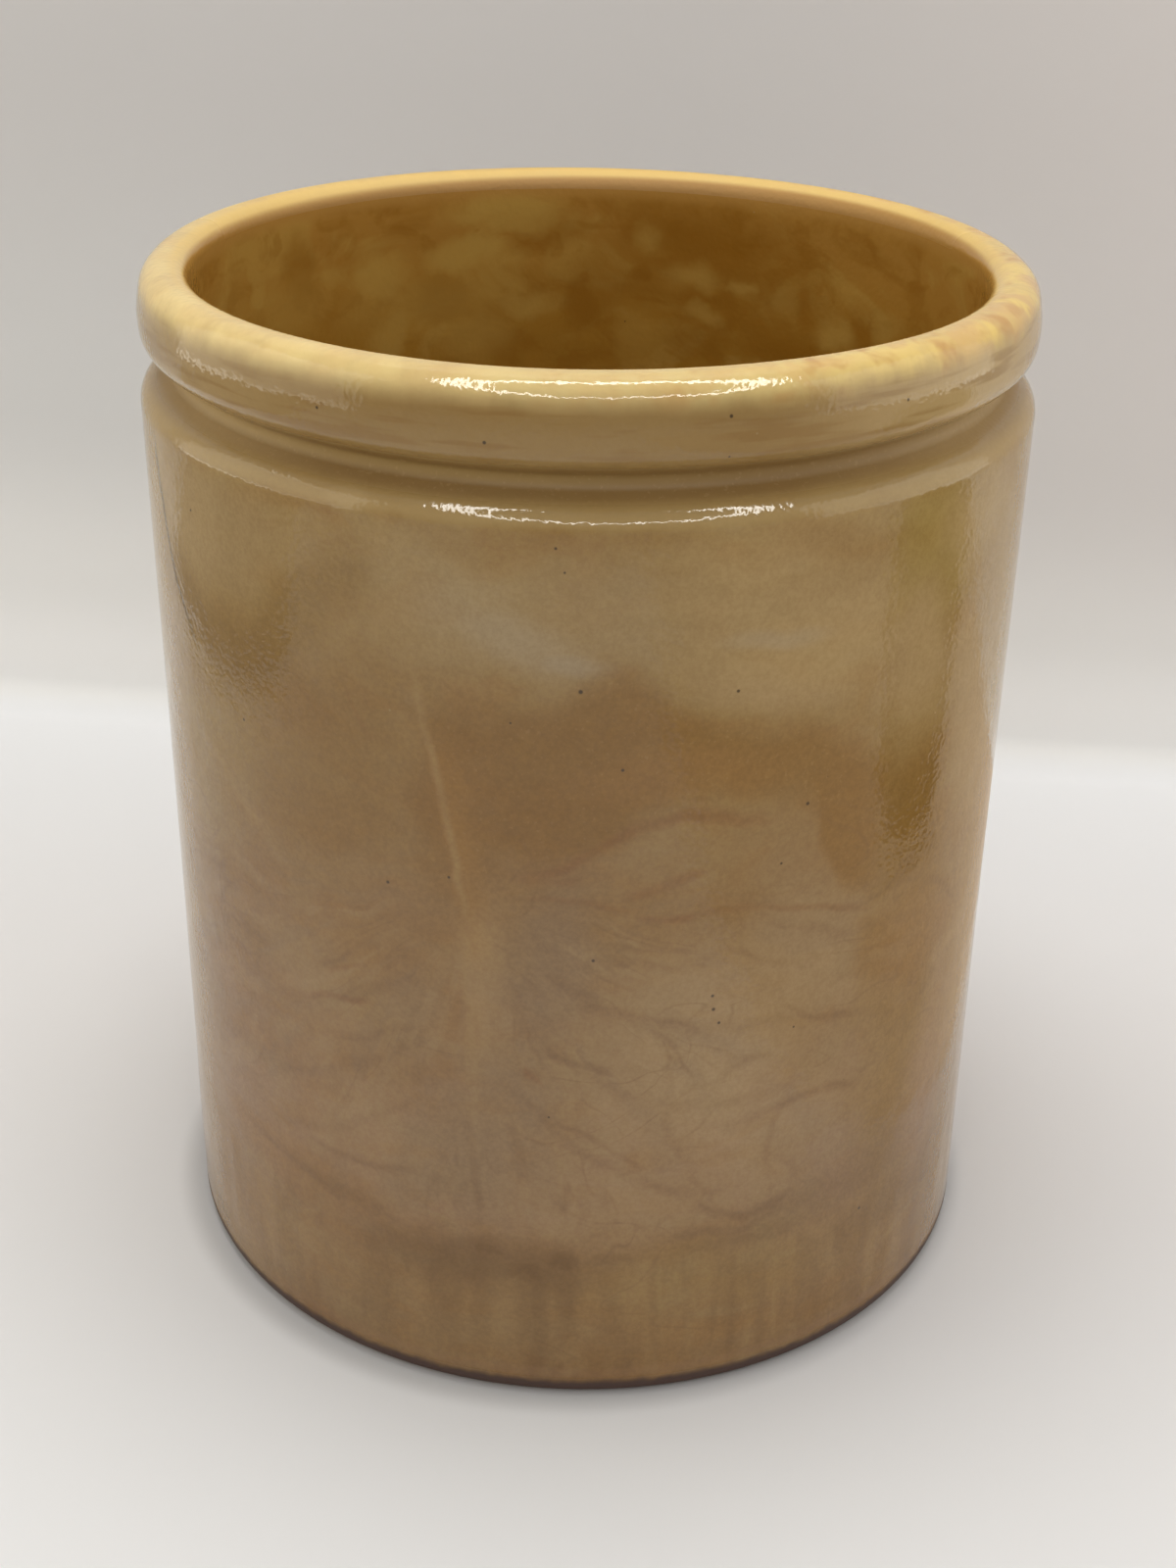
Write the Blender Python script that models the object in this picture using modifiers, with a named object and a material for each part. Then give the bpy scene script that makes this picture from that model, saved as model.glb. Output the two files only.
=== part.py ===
"""Stoneware preserve jar: one fired piece, turned round the Z axis.

The jar stands on the plane Z = 0 with its axis on Z. Everything is in metres. The whole section is one
outline that starts on the axis at the inside floor, climbs the inside of the wall, rolls over the rim,
runs down the bead, the tie-down groove, the shoulder and the outer wall, turns under the foot and comes
back to the axis below the floor. A Screw modifier turns that outline into the solid.
"""

import math

import bmesh
import bpy

MM = 0.001

# Overall size
JAR_HEIGHT = 120.0 * MM
BODY_RADIUS = 49.9 * MM  # the outer wall just below the shoulder, before its corner is rounded
BODY_TAPER = 0.5 * MM  # how much nearer the axis the outer wall is at the foot

# Wall and floor
WALL_THICKNESS = 6.1 * MM
FLOOR_THICKNESS = 7.0 * MM
FLOOR_CORNER_ROUND = 6.0 * MM

# Rim and the bead below it
LIP_INNER_ROUND = 2.1 * MM
LIP_OUTER_ROUND = 2.8 * MM
BEAD_SETBACK = 0.25 * MM  # the bead's widest line lies this far inside BODY_RADIUS
BEAD_CROWN_DROP = 4.6 * MM  # from the rim's top down to the bead's widest line
BEAD_TOP_LEAN = 0.8 * MM
BEAD_FOOT_LEAN = 0.25 * MM
BEAD_CROWN_ROUND = 8.0 * MM
BEAD_HEIGHT = 7.9 * MM  # from the rim's top down to the bead's lower corner
BEAD_FOOT_ROUND = 3.0 * MM

# Groove for the string that ties a cover down, and the shoulder below it
GROOVE_DEPTH = 3.75 * MM  # below BODY_RADIUS
GROOVE_UNDERCUT_DROP = 2.1 * MM  # height of the slope under the bead
GROOVE_FLOOR_HEIGHT = 1.3 * MM
GROOVE_ROUND = 1.0 * MM
SHOULDER_DROP = 1.8 * MM  # height of the slope from the groove out to the shoulder
SHOULDER_ROUND = 2.5 * MM

# Foot
FOOT_ROUND = 1.8 * MM
FOOT_RING_WIDTH = 11.5 * MM  # from the outer wall to the edge of the shallow recess underneath
RECESS_DEPTH = 1.0 * MM
RECESS_SLOPE = 1.5 * MM
RECESS_ROUND = 0.6 * MM

# Fineness of the turned solid
TURN_SEGMENTS = 64
ARC_STEP = math.radians(15.0)
MERGE_DISTANCE = 0.01 * MM

# Colour of the fired body under its clear honey glaze
GLAZED_CLAY = (0.47, 0.33, 0.16, 1.0)
GLAZE_ROUGHNESS = 0.15


def clear_scene():
    """Removes every object that the scene starts with."""
    for obj in list(bpy.data.objects):
        bpy.data.objects.remove(obj, do_unlink=True)


def section_corners():
    """The section's corners as (radius, height, rounding), from the axis round to the axis."""
    inner = BODY_RADIUS - WALL_THICKNESS
    bead = BODY_RADIUS - BEAD_SETBACK
    groove = BODY_RADIUS - GROOVE_DEPTH
    foot = BODY_RADIUS - BODY_TAPER
    ring_inner = foot - FOOT_RING_WIDTH
    bead_foot_z = JAR_HEIGHT - BEAD_HEIGHT
    groove_top_z = bead_foot_z - GROOVE_UNDERCUT_DROP
    groove_foot_z = groove_top_z - GROOVE_FLOOR_HEIGHT
    shoulder_z = groove_foot_z - SHOULDER_DROP
    return [
        (0.0, FLOOR_THICKNESS, 0.0),
        (inner, FLOOR_THICKNESS, FLOOR_CORNER_ROUND),
        (inner, JAR_HEIGHT, LIP_INNER_ROUND),
        (bead - BEAD_TOP_LEAN, JAR_HEIGHT, LIP_OUTER_ROUND),
        (bead, JAR_HEIGHT - BEAD_CROWN_DROP, BEAD_CROWN_ROUND),
        (bead - BEAD_FOOT_LEAN, bead_foot_z, BEAD_FOOT_ROUND),
        (groove, groove_top_z, GROOVE_ROUND),
        (groove, groove_foot_z, GROOVE_ROUND),
        (BODY_RADIUS, shoulder_z, SHOULDER_ROUND),
        (foot, 0.0, FOOT_ROUND),
        (ring_inner, 0.0, RECESS_ROUND),
        (ring_inner - RECESS_SLOPE, RECESS_DEPTH, RECESS_ROUND),
        (0.0, RECESS_DEPTH, 0.0),
    ]


def direction(start, end):
    """Unit direction from start to end, and the distance between them."""
    dr = end[0] - start[0]
    dz = end[1] - start[1]
    length = math.hypot(dr, dz)
    return (dr / length, dz / length), length


def rounded(before, corner, after):
    """Points of the arc that rounds a corner. A rounding that its sides are too short for is limited by them."""
    to_before, run_before = direction(corner, before)
    to_after, run_after = direction(corner, after)
    cosine = to_before[0] * to_after[0] + to_before[1] * to_after[1]
    half_angle = math.acos(max(-1.0, min(1.0, cosine))) / 2
    setback = min(corner[2] / math.tan(half_angle), run_before / 2, run_after / 2)
    radius = setback * math.tan(half_angle)
    bisector = (to_before[0] + to_after[0], to_before[1] + to_after[1])
    reach = radius / math.sin(half_angle) / math.hypot(*bisector)
    centre = (corner[0] + bisector[0] * reach, corner[1] + bisector[1] * reach)
    start = (corner[0] + to_before[0] * setback, corner[1] + to_before[1] * setback)
    end = (corner[0] + to_after[0] * setback, corner[1] + to_after[1] * setback)
    first = math.atan2(start[1] - centre[1], start[0] - centre[0])
    last = math.atan2(end[1] - centre[1], end[0] - centre[0])
    turn = (last - first + math.pi) % (2 * math.pi) - math.pi
    steps = max(1, math.ceil(abs(turn) / ARC_STEP))
    angles = [first + turn * step / steps for step in range(steps + 1)]
    return [(centre[0] + radius * math.cos(a), centre[1] + radius * math.sin(a)) for a in angles]


def section_outline():
    """The section as (radius, height) points, with its corners rounded."""
    corners = section_corners()
    points = [corners[0][:2]]
    for before, corner, after in zip(corners, corners[1:], corners[2:]):
        points += rounded(before, corner, after)
    points.append(corners[-1][:2])
    return points


def outline_mesh(name, points):
    """A mesh of one open chain of edges at +X through the points."""
    mesh = bpy.data.meshes.new(name)
    chain = bmesh.new()
    vertices = [chain.verts.new((radius, 0.0, height)) for radius, height in points]
    for first, second in zip(vertices, vertices[1:]):
        chain.edges.new((first, second))
    chain.to_mesh(mesh)
    chain.free()
    return mesh


def glazed_stoneware():
    """Buff stoneware under a glossy honey glaze."""
    material = bpy.data.materials.new("glazed_stoneware")
    material.use_nodes = True
    shader = material.node_tree.nodes["Principled BSDF"]
    shader.inputs["Base Color"].default_value = GLAZED_CLAY
    shader.inputs["Roughness"].default_value = GLAZE_ROUGHNESS
    shader.inputs["Metallic"].default_value = 0.0
    material.diffuse_color = GLAZED_CLAY
    return material


def turn_on_axis(obj):
    """Turns the outline once round Z and closes it on the axis."""
    screw = obj.modifiers.new("turned", "SCREW")
    screw.axis = "Z"
    screw.angle = 2 * math.pi
    screw.steps = TURN_SEGMENTS
    screw.render_steps = TURN_SEGMENTS
    screw.use_merge_vertices = True
    screw.merge_threshold = MERGE_DISTANCE
    screw.use_smooth_shade = True


def make_jar_body(collection):
    """The jar: body, rim, groove, foot and floor are one piece of fired clay."""
    mesh = outline_mesh("jar_body", section_outline())
    mesh.materials.append(glazed_stoneware())
    obj = bpy.data.objects.new("jar_body", mesh)
    collection.objects.link(obj)
    turn_on_axis(obj)
    return obj


def main():
    clear_scene()
    collection = bpy.data.collections.new("stoneware_jar")
    bpy.context.scene.collection.children.link(collection)
    make_jar_body(collection)


main()
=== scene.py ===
"""The looks of a glazed stoneware preserve jar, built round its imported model.

The jar stands on Z = 0 with its axis on Z, and the camera looks at its -Y side. Lengths are in metres unless
a name ends in _mm. A bearing is an angle round the axis in degrees: 0 at -Y, growing towards +X.
"""

import logging
import math
from collections.abc import Callable, Iterator
from dataclasses import dataclass, field
from enum import Enum

import bpy
import numpy as np
from mathutils import Matrix, Vector


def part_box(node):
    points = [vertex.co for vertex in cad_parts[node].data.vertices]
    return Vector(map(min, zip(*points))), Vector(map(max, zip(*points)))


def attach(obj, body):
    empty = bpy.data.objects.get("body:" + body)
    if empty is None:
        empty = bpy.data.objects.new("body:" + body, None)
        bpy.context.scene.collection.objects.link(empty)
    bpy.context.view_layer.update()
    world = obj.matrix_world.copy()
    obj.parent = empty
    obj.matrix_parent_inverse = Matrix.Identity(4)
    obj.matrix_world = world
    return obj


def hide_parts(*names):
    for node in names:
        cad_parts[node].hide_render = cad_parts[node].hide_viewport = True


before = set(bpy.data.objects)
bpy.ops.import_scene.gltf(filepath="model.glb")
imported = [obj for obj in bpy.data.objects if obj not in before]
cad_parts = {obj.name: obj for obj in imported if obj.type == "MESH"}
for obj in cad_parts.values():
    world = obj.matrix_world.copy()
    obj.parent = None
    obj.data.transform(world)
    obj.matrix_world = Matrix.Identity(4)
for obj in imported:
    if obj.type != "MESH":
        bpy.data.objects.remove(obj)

log = logging.getLogger("stoneware_jar")

MM = 0.001
NODE = "jar_body"
BODY = "root"

Rgb = tuple[float, float, float]
Point = tuple[float, float]
Tones = tuple[tuple[float, Rgb], ...]


def math_node(operation: str, swapped: bool = False) -> "Callable[[Value, Number], Value]":
    """A method of Value that adds one Math node.

    Args:
        operation: the Math node's operation.
        swapped: whether the other number is its first operand.

    Returns:
        The method.
    """

    def apply(this: "Value", other: "Number") -> "Value":
        """The operation's result for this and other."""
        pair = (other, this) if swapped else (this, other)
        return this.graph.node("ShaderNodeMath", {"operation": operation}, dict(enumerate(pair)))

    return apply


class Value:
    """A number, vector or colour that a shader node puts out. Arithmetic on numbers adds Math nodes."""

    __add__, __radd__ = math_node("ADD"), math_node("ADD", swapped=True)
    __sub__, __rsub__ = math_node("SUBTRACT"), math_node("SUBTRACT", swapped=True)
    __mul__, __rmul__ = math_node("MULTIPLY"), math_node("MULTIPLY", swapped=True)
    __truediv__, __rtruediv__ = math_node("DIVIDE"), math_node("DIVIDE", swapped=True)
    __pow__, __rpow__ = math_node("POWER"), math_node("POWER", swapped=True)
    at_least = math_node("MAXIMUM")
    arctan2 = math_node("ARCTAN2")
    pingpong = math_node("PINGPONG")

    def __init__(self, graph: "Graph", socket: bpy.types.NodeSocket) -> None:
        """Keeps the socket and the graph that it belongs to."""
        self.graph = graph
        self.socket = socket

    def __neg__(self) -> "Value":
        """This with its sign turned."""
        return self * -1.0

    def __abs__(self) -> "Value":
        """This without its sign."""
        return self.graph.node("ShaderNodeMath", {"operation": "ABSOLUTE"}, {0: self, 1: 0.0})

    def smooth(self, start: "Number", end: "Number", top: "Number" = 1.0) -> "Value":
        """A smooth step: 0 where this is at start or before it, top where it is at end or past it.

        Args:
            start: where the step begins.
            end: where it ends, before start for a falling step.
            top: its level past the end.

        Returns:
            The step.
        """
        settings = {"interpolation_type": "SMOOTHSTEP", "clamp": True}
        sockets = {"Value": self, "From Min": start, "From Max": end, "To Min": 0.0, "To Max": top}
        return self.graph.node("ShaderNodeMapRange", settings, sockets)

    def spread(self, start: float, end: float, low: float, high: float) -> "Value":
        """A straight ramp: low where this is at start, high where it is at end, and held beyond them."""
        sockets = {"Value": self, "From Min": start, "From Max": end, "To Min": low, "To Max": high}
        return self.graph.node("ShaderNodeMapRange", {"clamp": True}, sockets)

    def tones(self, tones: Tones) -> "Value":
        """This number's colour, from (number, colour) stops that start at 0.

        Args:
            tones: the stops, in rising order.

        Returns:
            The colour, held past the last stop.
        """
        reach = tones[-1][0]
        stops = [(at / reach, tone) for at, tone in tones]
        return self.graph.node("ShaderNodeValToRGB", {"stops": stops}, {"Fac": self / reach})

    def vector_math(self, operation: str, *others: "Value | Rgb") -> "Value":
        """The result of a Vector Math node for this vector and others.

        Args:
            operation: the node's operation.
            others: its other operands.

        Returns:
            A number for a product, a length or a distance, and otherwise a vector.
        """
        output = "Value" if operation in ("DOT_PRODUCT", "LENGTH", "DISTANCE") else "Vector"
        operands = dict(enumerate((self, *others)))
        return self.graph.node("ShaderNodeVectorMath", {"operation": operation}, operands, output)

    def scaled(self, x: float, y: float, z: float) -> "Value":
        """This vector with each of its parts multiplied by its own factor."""
        return self.vector_math("MULTIPLY", (x, y, z))

    def parts(self) -> tuple["Value", "Value", "Value"]:
        """The three numbers of this vector."""
        outputs = self.graph.node("ShaderNodeSeparateXYZ", {}, {0: self}).socket.node.outputs
        return Value(self.graph, outputs[0]), Value(self.graph, outputs[1]), Value(self.graph, outputs[2])

    def noise(self, pitch_mm: float, detail: float = 2.0, roughness: float = 0.5, distortion: float = 0.0,
              output: str = "Fac") -> "Value":
        """Noise at this place, which is in millimetres.

        Args:
            pitch_mm: the size of its largest features.
            detail: how many finer layers it has.
            roughness: how strong those are.
            distortion: how far it is swirled.
            output: "Fac" for a number or "Color" for three.

        Returns:
            The noise, between 0 and 1 and mostly near 0.5.
        """
        sockets = {"Vector": self, "Scale": 1.0 / pitch_mm, "Detail": detail, "Roughness": roughness,
                   "Distortion": distortion}
        return self.graph.node("ShaderNodeTexNoise", {"noise_dimensions": "3D"}, sockets, output)


Number = Value | float


class Graph:
    """The node tree of a material or a world."""

    def __init__(self, owner: bpy.types.Material | bpy.types.World) -> None:
        """Empties the owner's node tree, so that every node in it comes from here.

        Args:
            owner: the material or world.
        """
        owner.use_nodes = True
        self.tree = owner.node_tree
        self.tree.nodes.clear()

    def node(
        self,
        kind: str,
        settings: dict[str, object] | None = None,
        inputs: dict[str | int, object] | None = None,
        output: str | int = 0,
    ) -> Value:
        """Adds one node.

        Args:
            kind: the node's type.
            settings: its properties, set before its sockets. "stops" are a ramp's (place, colour) pairs, and
                "curve" are a curve's (x, y) points.
            inputs: what its sockets hold or are linked to, by name or index.
            output: the output that is wanted, by name or index.

        Returns:
            The wanted output.
        """
        node = self.tree.nodes.new(kind)
        for name, setting in (settings or {}).items():
            if name == "stops":
                self._set_stops(node.color_ramp, setting)
            elif name == "curve":
                self._set_curve(node.mapping, setting)
            else:
                setattr(node, name, setting)
        for name, given in (inputs or {}).items():
            if isinstance(given, Value):
                self.tree.links.new(given.socket, node.inputs[name])
            else:
                node.inputs[name].default_value = given
        return Value(self, node.outputs[output] if len(node.outputs) else None)

    @staticmethod
    def _set_stops(ramp: bpy.types.ColorRamp, stops: list[tuple[float, Rgb]]) -> None:
        """Gives a colour ramp its stops, smoothly joined.

        Args:
            ramp: the ramp.
            stops: (place, colour) pairs in rising order.
        """
        ramp.interpolation = "EASE"
        while len(ramp.elements) < len(stops):
            ramp.elements.new(1.0)
        for element, (place, colour) in zip(ramp.elements, stops):
            element.position = place
            element.color = (*colour, 1.0)

    @staticmethod
    def _set_curve(mapping: bpy.types.CurveMapping, points: list[Point]) -> None:
        """Gives a curve its points.

        Args:
            mapping: the curve's mapping.
            points: (x, y) pairs from 0 to 1, in rising order of x.
        """
        curve = mapping.curves[0]
        while len(curve.points) < len(points):
            curve.points.new(0.5, 0.5)
        for knot, place in zip(curve.points, points):
            knot.location = place
        mapping.update()

    def mix(self, share: Number, first: Value | Rgb, second: Value | Rgb, blend: str = "MIX") -> Value:
        """Mixes two colours.

        Args:
            share: how much of the second colour is taken.
            first: the colour at share 0.
            second: the colour at share 1.
            blend: the Mix node's blend type.

        Returns:
            The mixed colour.
        """
        pair = [c if isinstance(c, Value) else (*c, 1.0) for c in (first, second)]
        settings = {"data_type": "RGBA", "blend_type": blend, "clamp_factor": True}
        return self.node("ShaderNodeMix", settings, {0: share, 6: pair[0], 7: pair[1]}, 2)

    def vector(self, x: Number, y: Number, z: Number) -> Value:
        """A vector of three numbers."""
        return self.node("ShaderNodeCombineXYZ", {}, {0: x, 1: y, 2: z})

    def bump(self, height: Value) -> Value:
        """The normal of a surface with a height in millimetres."""
        return self.node("ShaderNodeBump", {}, {"Strength": 1.0, "Distance": MM, "Height": height})

    def close(self, shader: Value) -> None:
        """Makes a shader the material's surface."""
        self.node("ShaderNodeOutputMaterial", {}, {"Surface": shader})


class Coat:
    """A colour that is built up by laying tones over it."""

    def __init__(self, graph: Graph, colour: Value | Rgb) -> None:
        """Starts with a colour."""
        self.graph = graph
        self.colour = colour

    def lay(self, share: Number, tone: Value | Rgb, blend: str = "MIX") -> None:
        """Lays a tone over the coat, as strongly as share says."""
        self.colour = self.graph.mix(share, self.colour, tone, blend)


class Seam(Enum):
    """Where the bearing jumps from its highest value to its lowest."""

    BACK = "it runs from -180 to 180"
    FRONT = "it runs from 0 to 360"


class Run(Enum):
    """Which way a mark on the wall runs."""

    ACROSS = "its height follows its bearing"
    UPRIGHT = "its bearing follows its height"


@dataclass(frozen=True)
class Vein:
    """A thin wandering mark in the glaze.

    Its points are (bearing in degrees, height in mm), in order of bearing if it runs across, and from the
    foot up if it is upright.
    """

    width_mm: float
    strength: float
    points: tuple[Point, ...]
    run: Run = Run.ACROSS


@dataclass(frozen=True)
class Patch:
    """A soft-edged oval area of the wall. Its slope lifts it towards greater bearings, in mm for each mm."""

    bearing: float
    height_mm: float
    half_width_mm: float
    half_height_mm: float
    strength: float
    softness: float = 1.1
    slope: float = 0.0


@dataclass(frozen=True)
class Band:
    """A soft-edged area of the wall between a lower and an upper edge.

    Its points are (bearing in degrees, height of the lower edge in mm, height of the upper edge in mm), in
    order of bearing.
    """

    tone: Rgb
    strength: float
    softness_mm: float
    points: tuple[tuple[float, float, float], ...]


@dataclass(frozen=True)
class Speck:
    """An iron speck on the outside of the jar."""

    bearing: float
    height_mm: float
    radius_mm: float


@dataclass(frozen=True)
class Patches:
    """Patches of one tone, each a row of its values in the order of the fields of Patch."""

    tone: Rgb
    rows: tuple[tuple[float, ...], ...]

    def marks(self) -> Iterator[Patch]:
        """The patches."""
        return (Patch(*row) for row in self.rows)


def veins(run: Run, *rows: tuple[float | Point, ...]) -> tuple[Vein, ...]:
    """Veins that run one way, from rows of (width, strength, point, point, ...)."""
    return tuple(Vein(row[0], row[1], row[2:], run) for row in rows)


class Surface:
    """Coordinates on the jar, read from a point's place, for the finishes that vary over it.

    "place" is in mm. "flat" is the wall rolled out: the way round from bearing 0 and the height, in mm.
    """

    WALL_RADIUS_MM = 49.7
    MM_A_DEGREE = WALL_RADIUS_MM * math.pi / 180.0
    VEIN_FADE = 0.22  # the share of a mark's length over which it fades out at either end
    BAND_FADE = 0.12

    def __init__(self, graph: Graph, seam: Seam = Seam.BACK) -> None:
        """Adds the nodes that work the coordinates out.

        Args:
            graph: the finish's node tree.
            seam: where the bearing jumps.
        """
        self.graph = graph
        self.place = graph.node("ShaderNodeTexCoord", {}, {}, "Object").scaled(1000.0, 1000.0, 1000.0)
        x, y, self.height = self.place.parts()
        turn = x.arctan2(-y) if seam is Seam.BACK else (-x).arctan2(y) + math.pi
        self.bearing = turn * math.degrees(1.0)
        self.around = abs(self.bearing)
        self.radius = (x * x + y * y) ** 0.5
        self.flat = graph.vector(turn * self.WALL_RADIUS_MM, self.height, 0.0)

    def warped(self, pitch_mm: float, reach_mm: float, detail: float = 1.0) -> Value:
        """The flat map with a wander in it, so that what is drawn on it has a living edge.

        Args:
            pitch_mm: how far apart the wanderings are.
            reach_mm: how far a point may move.
            detail: how many finer layers the wandering has.

        Returns:
            The wandering map.
        """
        drift = self.place.noise(pitch_mm, detail, output="Color")
        moved = drift.vector_math("MULTIPLY_ADD", (2.0 * reach_mm, 2.0 * reach_mm, 0.0), self.flat)
        return moved.vector_math("SUBTRACT", (reach_mm, reach_mm, 0.0))

    def _line(self, knots: list[Point], along: Value) -> tuple[Value, Value]:
        """A smooth line through (place, value) knots.

        Args:
            knots: the knots, in rising order of place.
            along: the place to read it at.

        Returns:
            How far along the line the place is, from 0 to 1, and the line's value there.
        """
        start, end = knots[0][0], knots[-1][0]
        values = [value for _, value in knots]
        low, high = min(values) - 1.0, max(values) + 1.0
        curve = [((place - start) / (end - start), (value - low) / (high - low)) for place, value in knots]
        share = along.spread(start, end, 0.0, 1.0)
        level = self.graph.node("ShaderNodeFloatCurve", {"curve": curve}, {"Value": share})
        return share, level.spread(0.0, 1.0, low, high)

    def _vein(self, mark: Vein, east: Value, up: Value) -> Value:
        """How strongly a vein shows, from 0 to its strength.

        Args:
            mark: the vein.
            east: the way round the jar, in mm.
            up: the height, in mm.

        Returns:
            Its strength on its line, falling to 0 beside it and at its ends.
        """
        knots = [(bearing * self.MM_A_DEGREE, height) for bearing, height in mark.points]
        along, across = east, up
        if mark.run is Run.UPRIGHT:
            along, across = up, east
            knots = [(height, way) for way, height in knots]
        share, level = self._line(knots, along)
        core = abs(across - level).smooth(mark.width_mm, 0.0)
        return core * share.pingpong(0.5).smooth(0.0, self.VEIN_FADE, mark.strength)

    def veins(self, marks: tuple[Vein, ...], spot: Value) -> Value:
        """The strongest of several veins at a spot of a flat map."""
        east, up, _ = spot.parts()
        return self._strongest(self._vein(mark, east, up) for mark in marks)

    def band(self, mark: Band, spot: Value) -> Value:
        """How strongly a band shows at a spot of a flat map, from 0 to its strength.

        Args:
            mark: the band.
            spot: the place on a flat map, in mm.

        Returns:
            Its strength, falling to 0 past its edges and ends.
        """
        east, up, _ = spot.parts()
        share, low = self._line([(b * self.MM_A_DEGREE, foot) for b, foot, _ in mark.points], east)
        _, high = self._line([(b * self.MM_A_DEGREE, top) for b, _, top in mark.points], east)
        above = (up - low).smooth(-mark.softness_mm, mark.softness_mm)
        below = (high - up).smooth(-mark.softness_mm, mark.softness_mm)
        return above * below * share.pingpong(0.5).smooth(0.0, self.BAND_FADE, mark.strength)

    def _patch(self, mark: Patch, spot: Value) -> Value:
        """How strongly a patch shows, from 0 to its strength.

        Args:
            mark: the patch.
            spot: the place on a flat map, in mm.

        Returns:
            Its strength, falling to 0 past its edge.
        """
        east = mark.bearing * self.MM_A_DEGREE
        if mark.slope:
            lift = spot.vector_math("DOT_PRODUCT", (mark.slope, 0.0, 0.0)) - mark.slope * east
            spot = spot.vector_math("SUBTRACT", self.graph.vector(0.0, lift, 0.0))
        shrink = (1.0 / mark.half_width_mm, 1.0 / mark.half_height_mm, 0.0)
        shift = (-east * shrink[0], -mark.height_mm * shrink[1], 0.0)
        distance = spot.vector_math("MULTIPLY_ADD", shrink, shift).vector_math("LENGTH")
        half = mark.softness / 2
        return distance.smooth(1.0 + half, 1.0 - half, mark.strength)

    def patches(self, patches: Patches, spot: Value) -> Value:
        """The strongest of several patches at a spot of a flat map."""
        return self._strongest(self._patch(mark, spot) for mark in patches.marks())

    def specks(self, marks: tuple[Speck, ...]) -> Value:
        """A mask of round specks on the outside."""
        return self._strongest(self._speck(mark) for mark in marks) * self.radius.smooth(45.5, 46.0)

    def _speck(self, mark: Speck) -> Value:
        """A mask of one speck."""
        centre = (mark.bearing * self.MM_A_DEGREE, mark.height_mm, 0.0)
        return self.flat.vector_math("DISTANCE", centre).smooth(mark.radius_mm, mark.radius_mm * 0.4)

    @staticmethod
    def _strongest(shown: Iterator[Value]) -> Value:
        """The largest of several numbers, each compared once it is made, which spares the shader's room.

        Args:
            shown: the numbers, at least one.

        Returns:
            The largest at each place.
        """
        most = next(shown)
        for value in shown:
            most = most.at_least(value)
        return most


@dataclass(frozen=True)
class HoneyGlaze:
    """What the glaze is like inside and outside: glossy, with a rippled skin and a few iron specks."""

    name: str = "honey_glaze"
    roughness: float = 0.085
    speck_tone: Rgb = (0.030, 0.016, 0.008)
    pinhole_tone: Rgb = (0.40, 0.29, 0.15)
    throat_tone: Rgb = (0.45, 0.240, 0.055)  # where the rim's thin glaze meets the thick glaze inside
    named_specks: tuple[Speck, ...] = ()
    seam: Seam = Seam.BACK

    def material(self) -> bpy.types.Material:
        """The glaze as a material.

        Returns:
            The finished material.
        """
        material = bpy.data.materials.new(self.name)
        graph = Graph(material)
        surface = Surface(graph, self.seam)
        coat = self.tint(surface)
        dark, pale = self._scattered_specks(surface)
        if self.named_specks:
            dark = dark.at_least(surface.specks(self.named_specks))
        coat.lay(pale * 0.4, self.pinhole_tone)
        coat.lay(dark * 0.85, self.speck_tone)
        rough = surface.place.noise(9.0, 1.0) * 0.05 + (self.roughness - 0.025) + self.dullness(surface)
        sockets = {
            "Base Color": coat.colour,
            "Roughness": rough,
            "IOR": 1.5,
            "Metallic": 0.0,
            "Normal": self._skin(surface),
        }
        graph.close(graph.node("ShaderNodeBsdfPrincipled", {}, sockets))
        return material

    def tint(self, surface: Surface) -> Coat:
        """The glaze's colour before its specks."""
        raise NotImplementedError

    def dullness(self, surface: Surface) -> Number:
        """How much rougher the skin is at each place than on the rest of it."""
        return 0.0

    @staticmethod
    def _scattered_specks(surface: Surface) -> tuple[Value, Value]:
        """Small specks at random.

        Args:
            surface: the coordinates to draw them on.

        Returns:
            A mask of the dark iron specks and one of the pale pinholes.
        """
        graph = surface.graph
        pitch_mm = 5.0
        settings = {"feature": "F1", "voronoi_dimensions": "3D"}
        sockets = {"Vector": surface.place, "Scale": 1.0 / pitch_mm}
        near = graph.node("ShaderNodeTexVoronoi", settings, sockets)
        chance, size, _ = Value(graph, near.socket.node.outputs["Color"]).parts()
        reach = (size * 0.13 + 0.06) / pitch_mm
        dot = near.smooth(reach, reach * 0.5)
        return dot * chance.smooth(0.86, 0.88), dot * chance.smooth(0.30, 0.28)

    @staticmethod
    def _skin(surface: Surface) -> Value:
        """The glaze's skin: an orange-peel ripple and slow waves.

        Args:
            surface: the coordinates to draw it on.

        Returns:
            The rippled normal.
        """
        peel = surface.place.noise(0.62, 1.0, 0.4)
        waves = surface.place.noise(4.5, 1.0, 0.4)
        return surface.graph.bump(peel * 0.040 + waves * 0.10)


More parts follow.
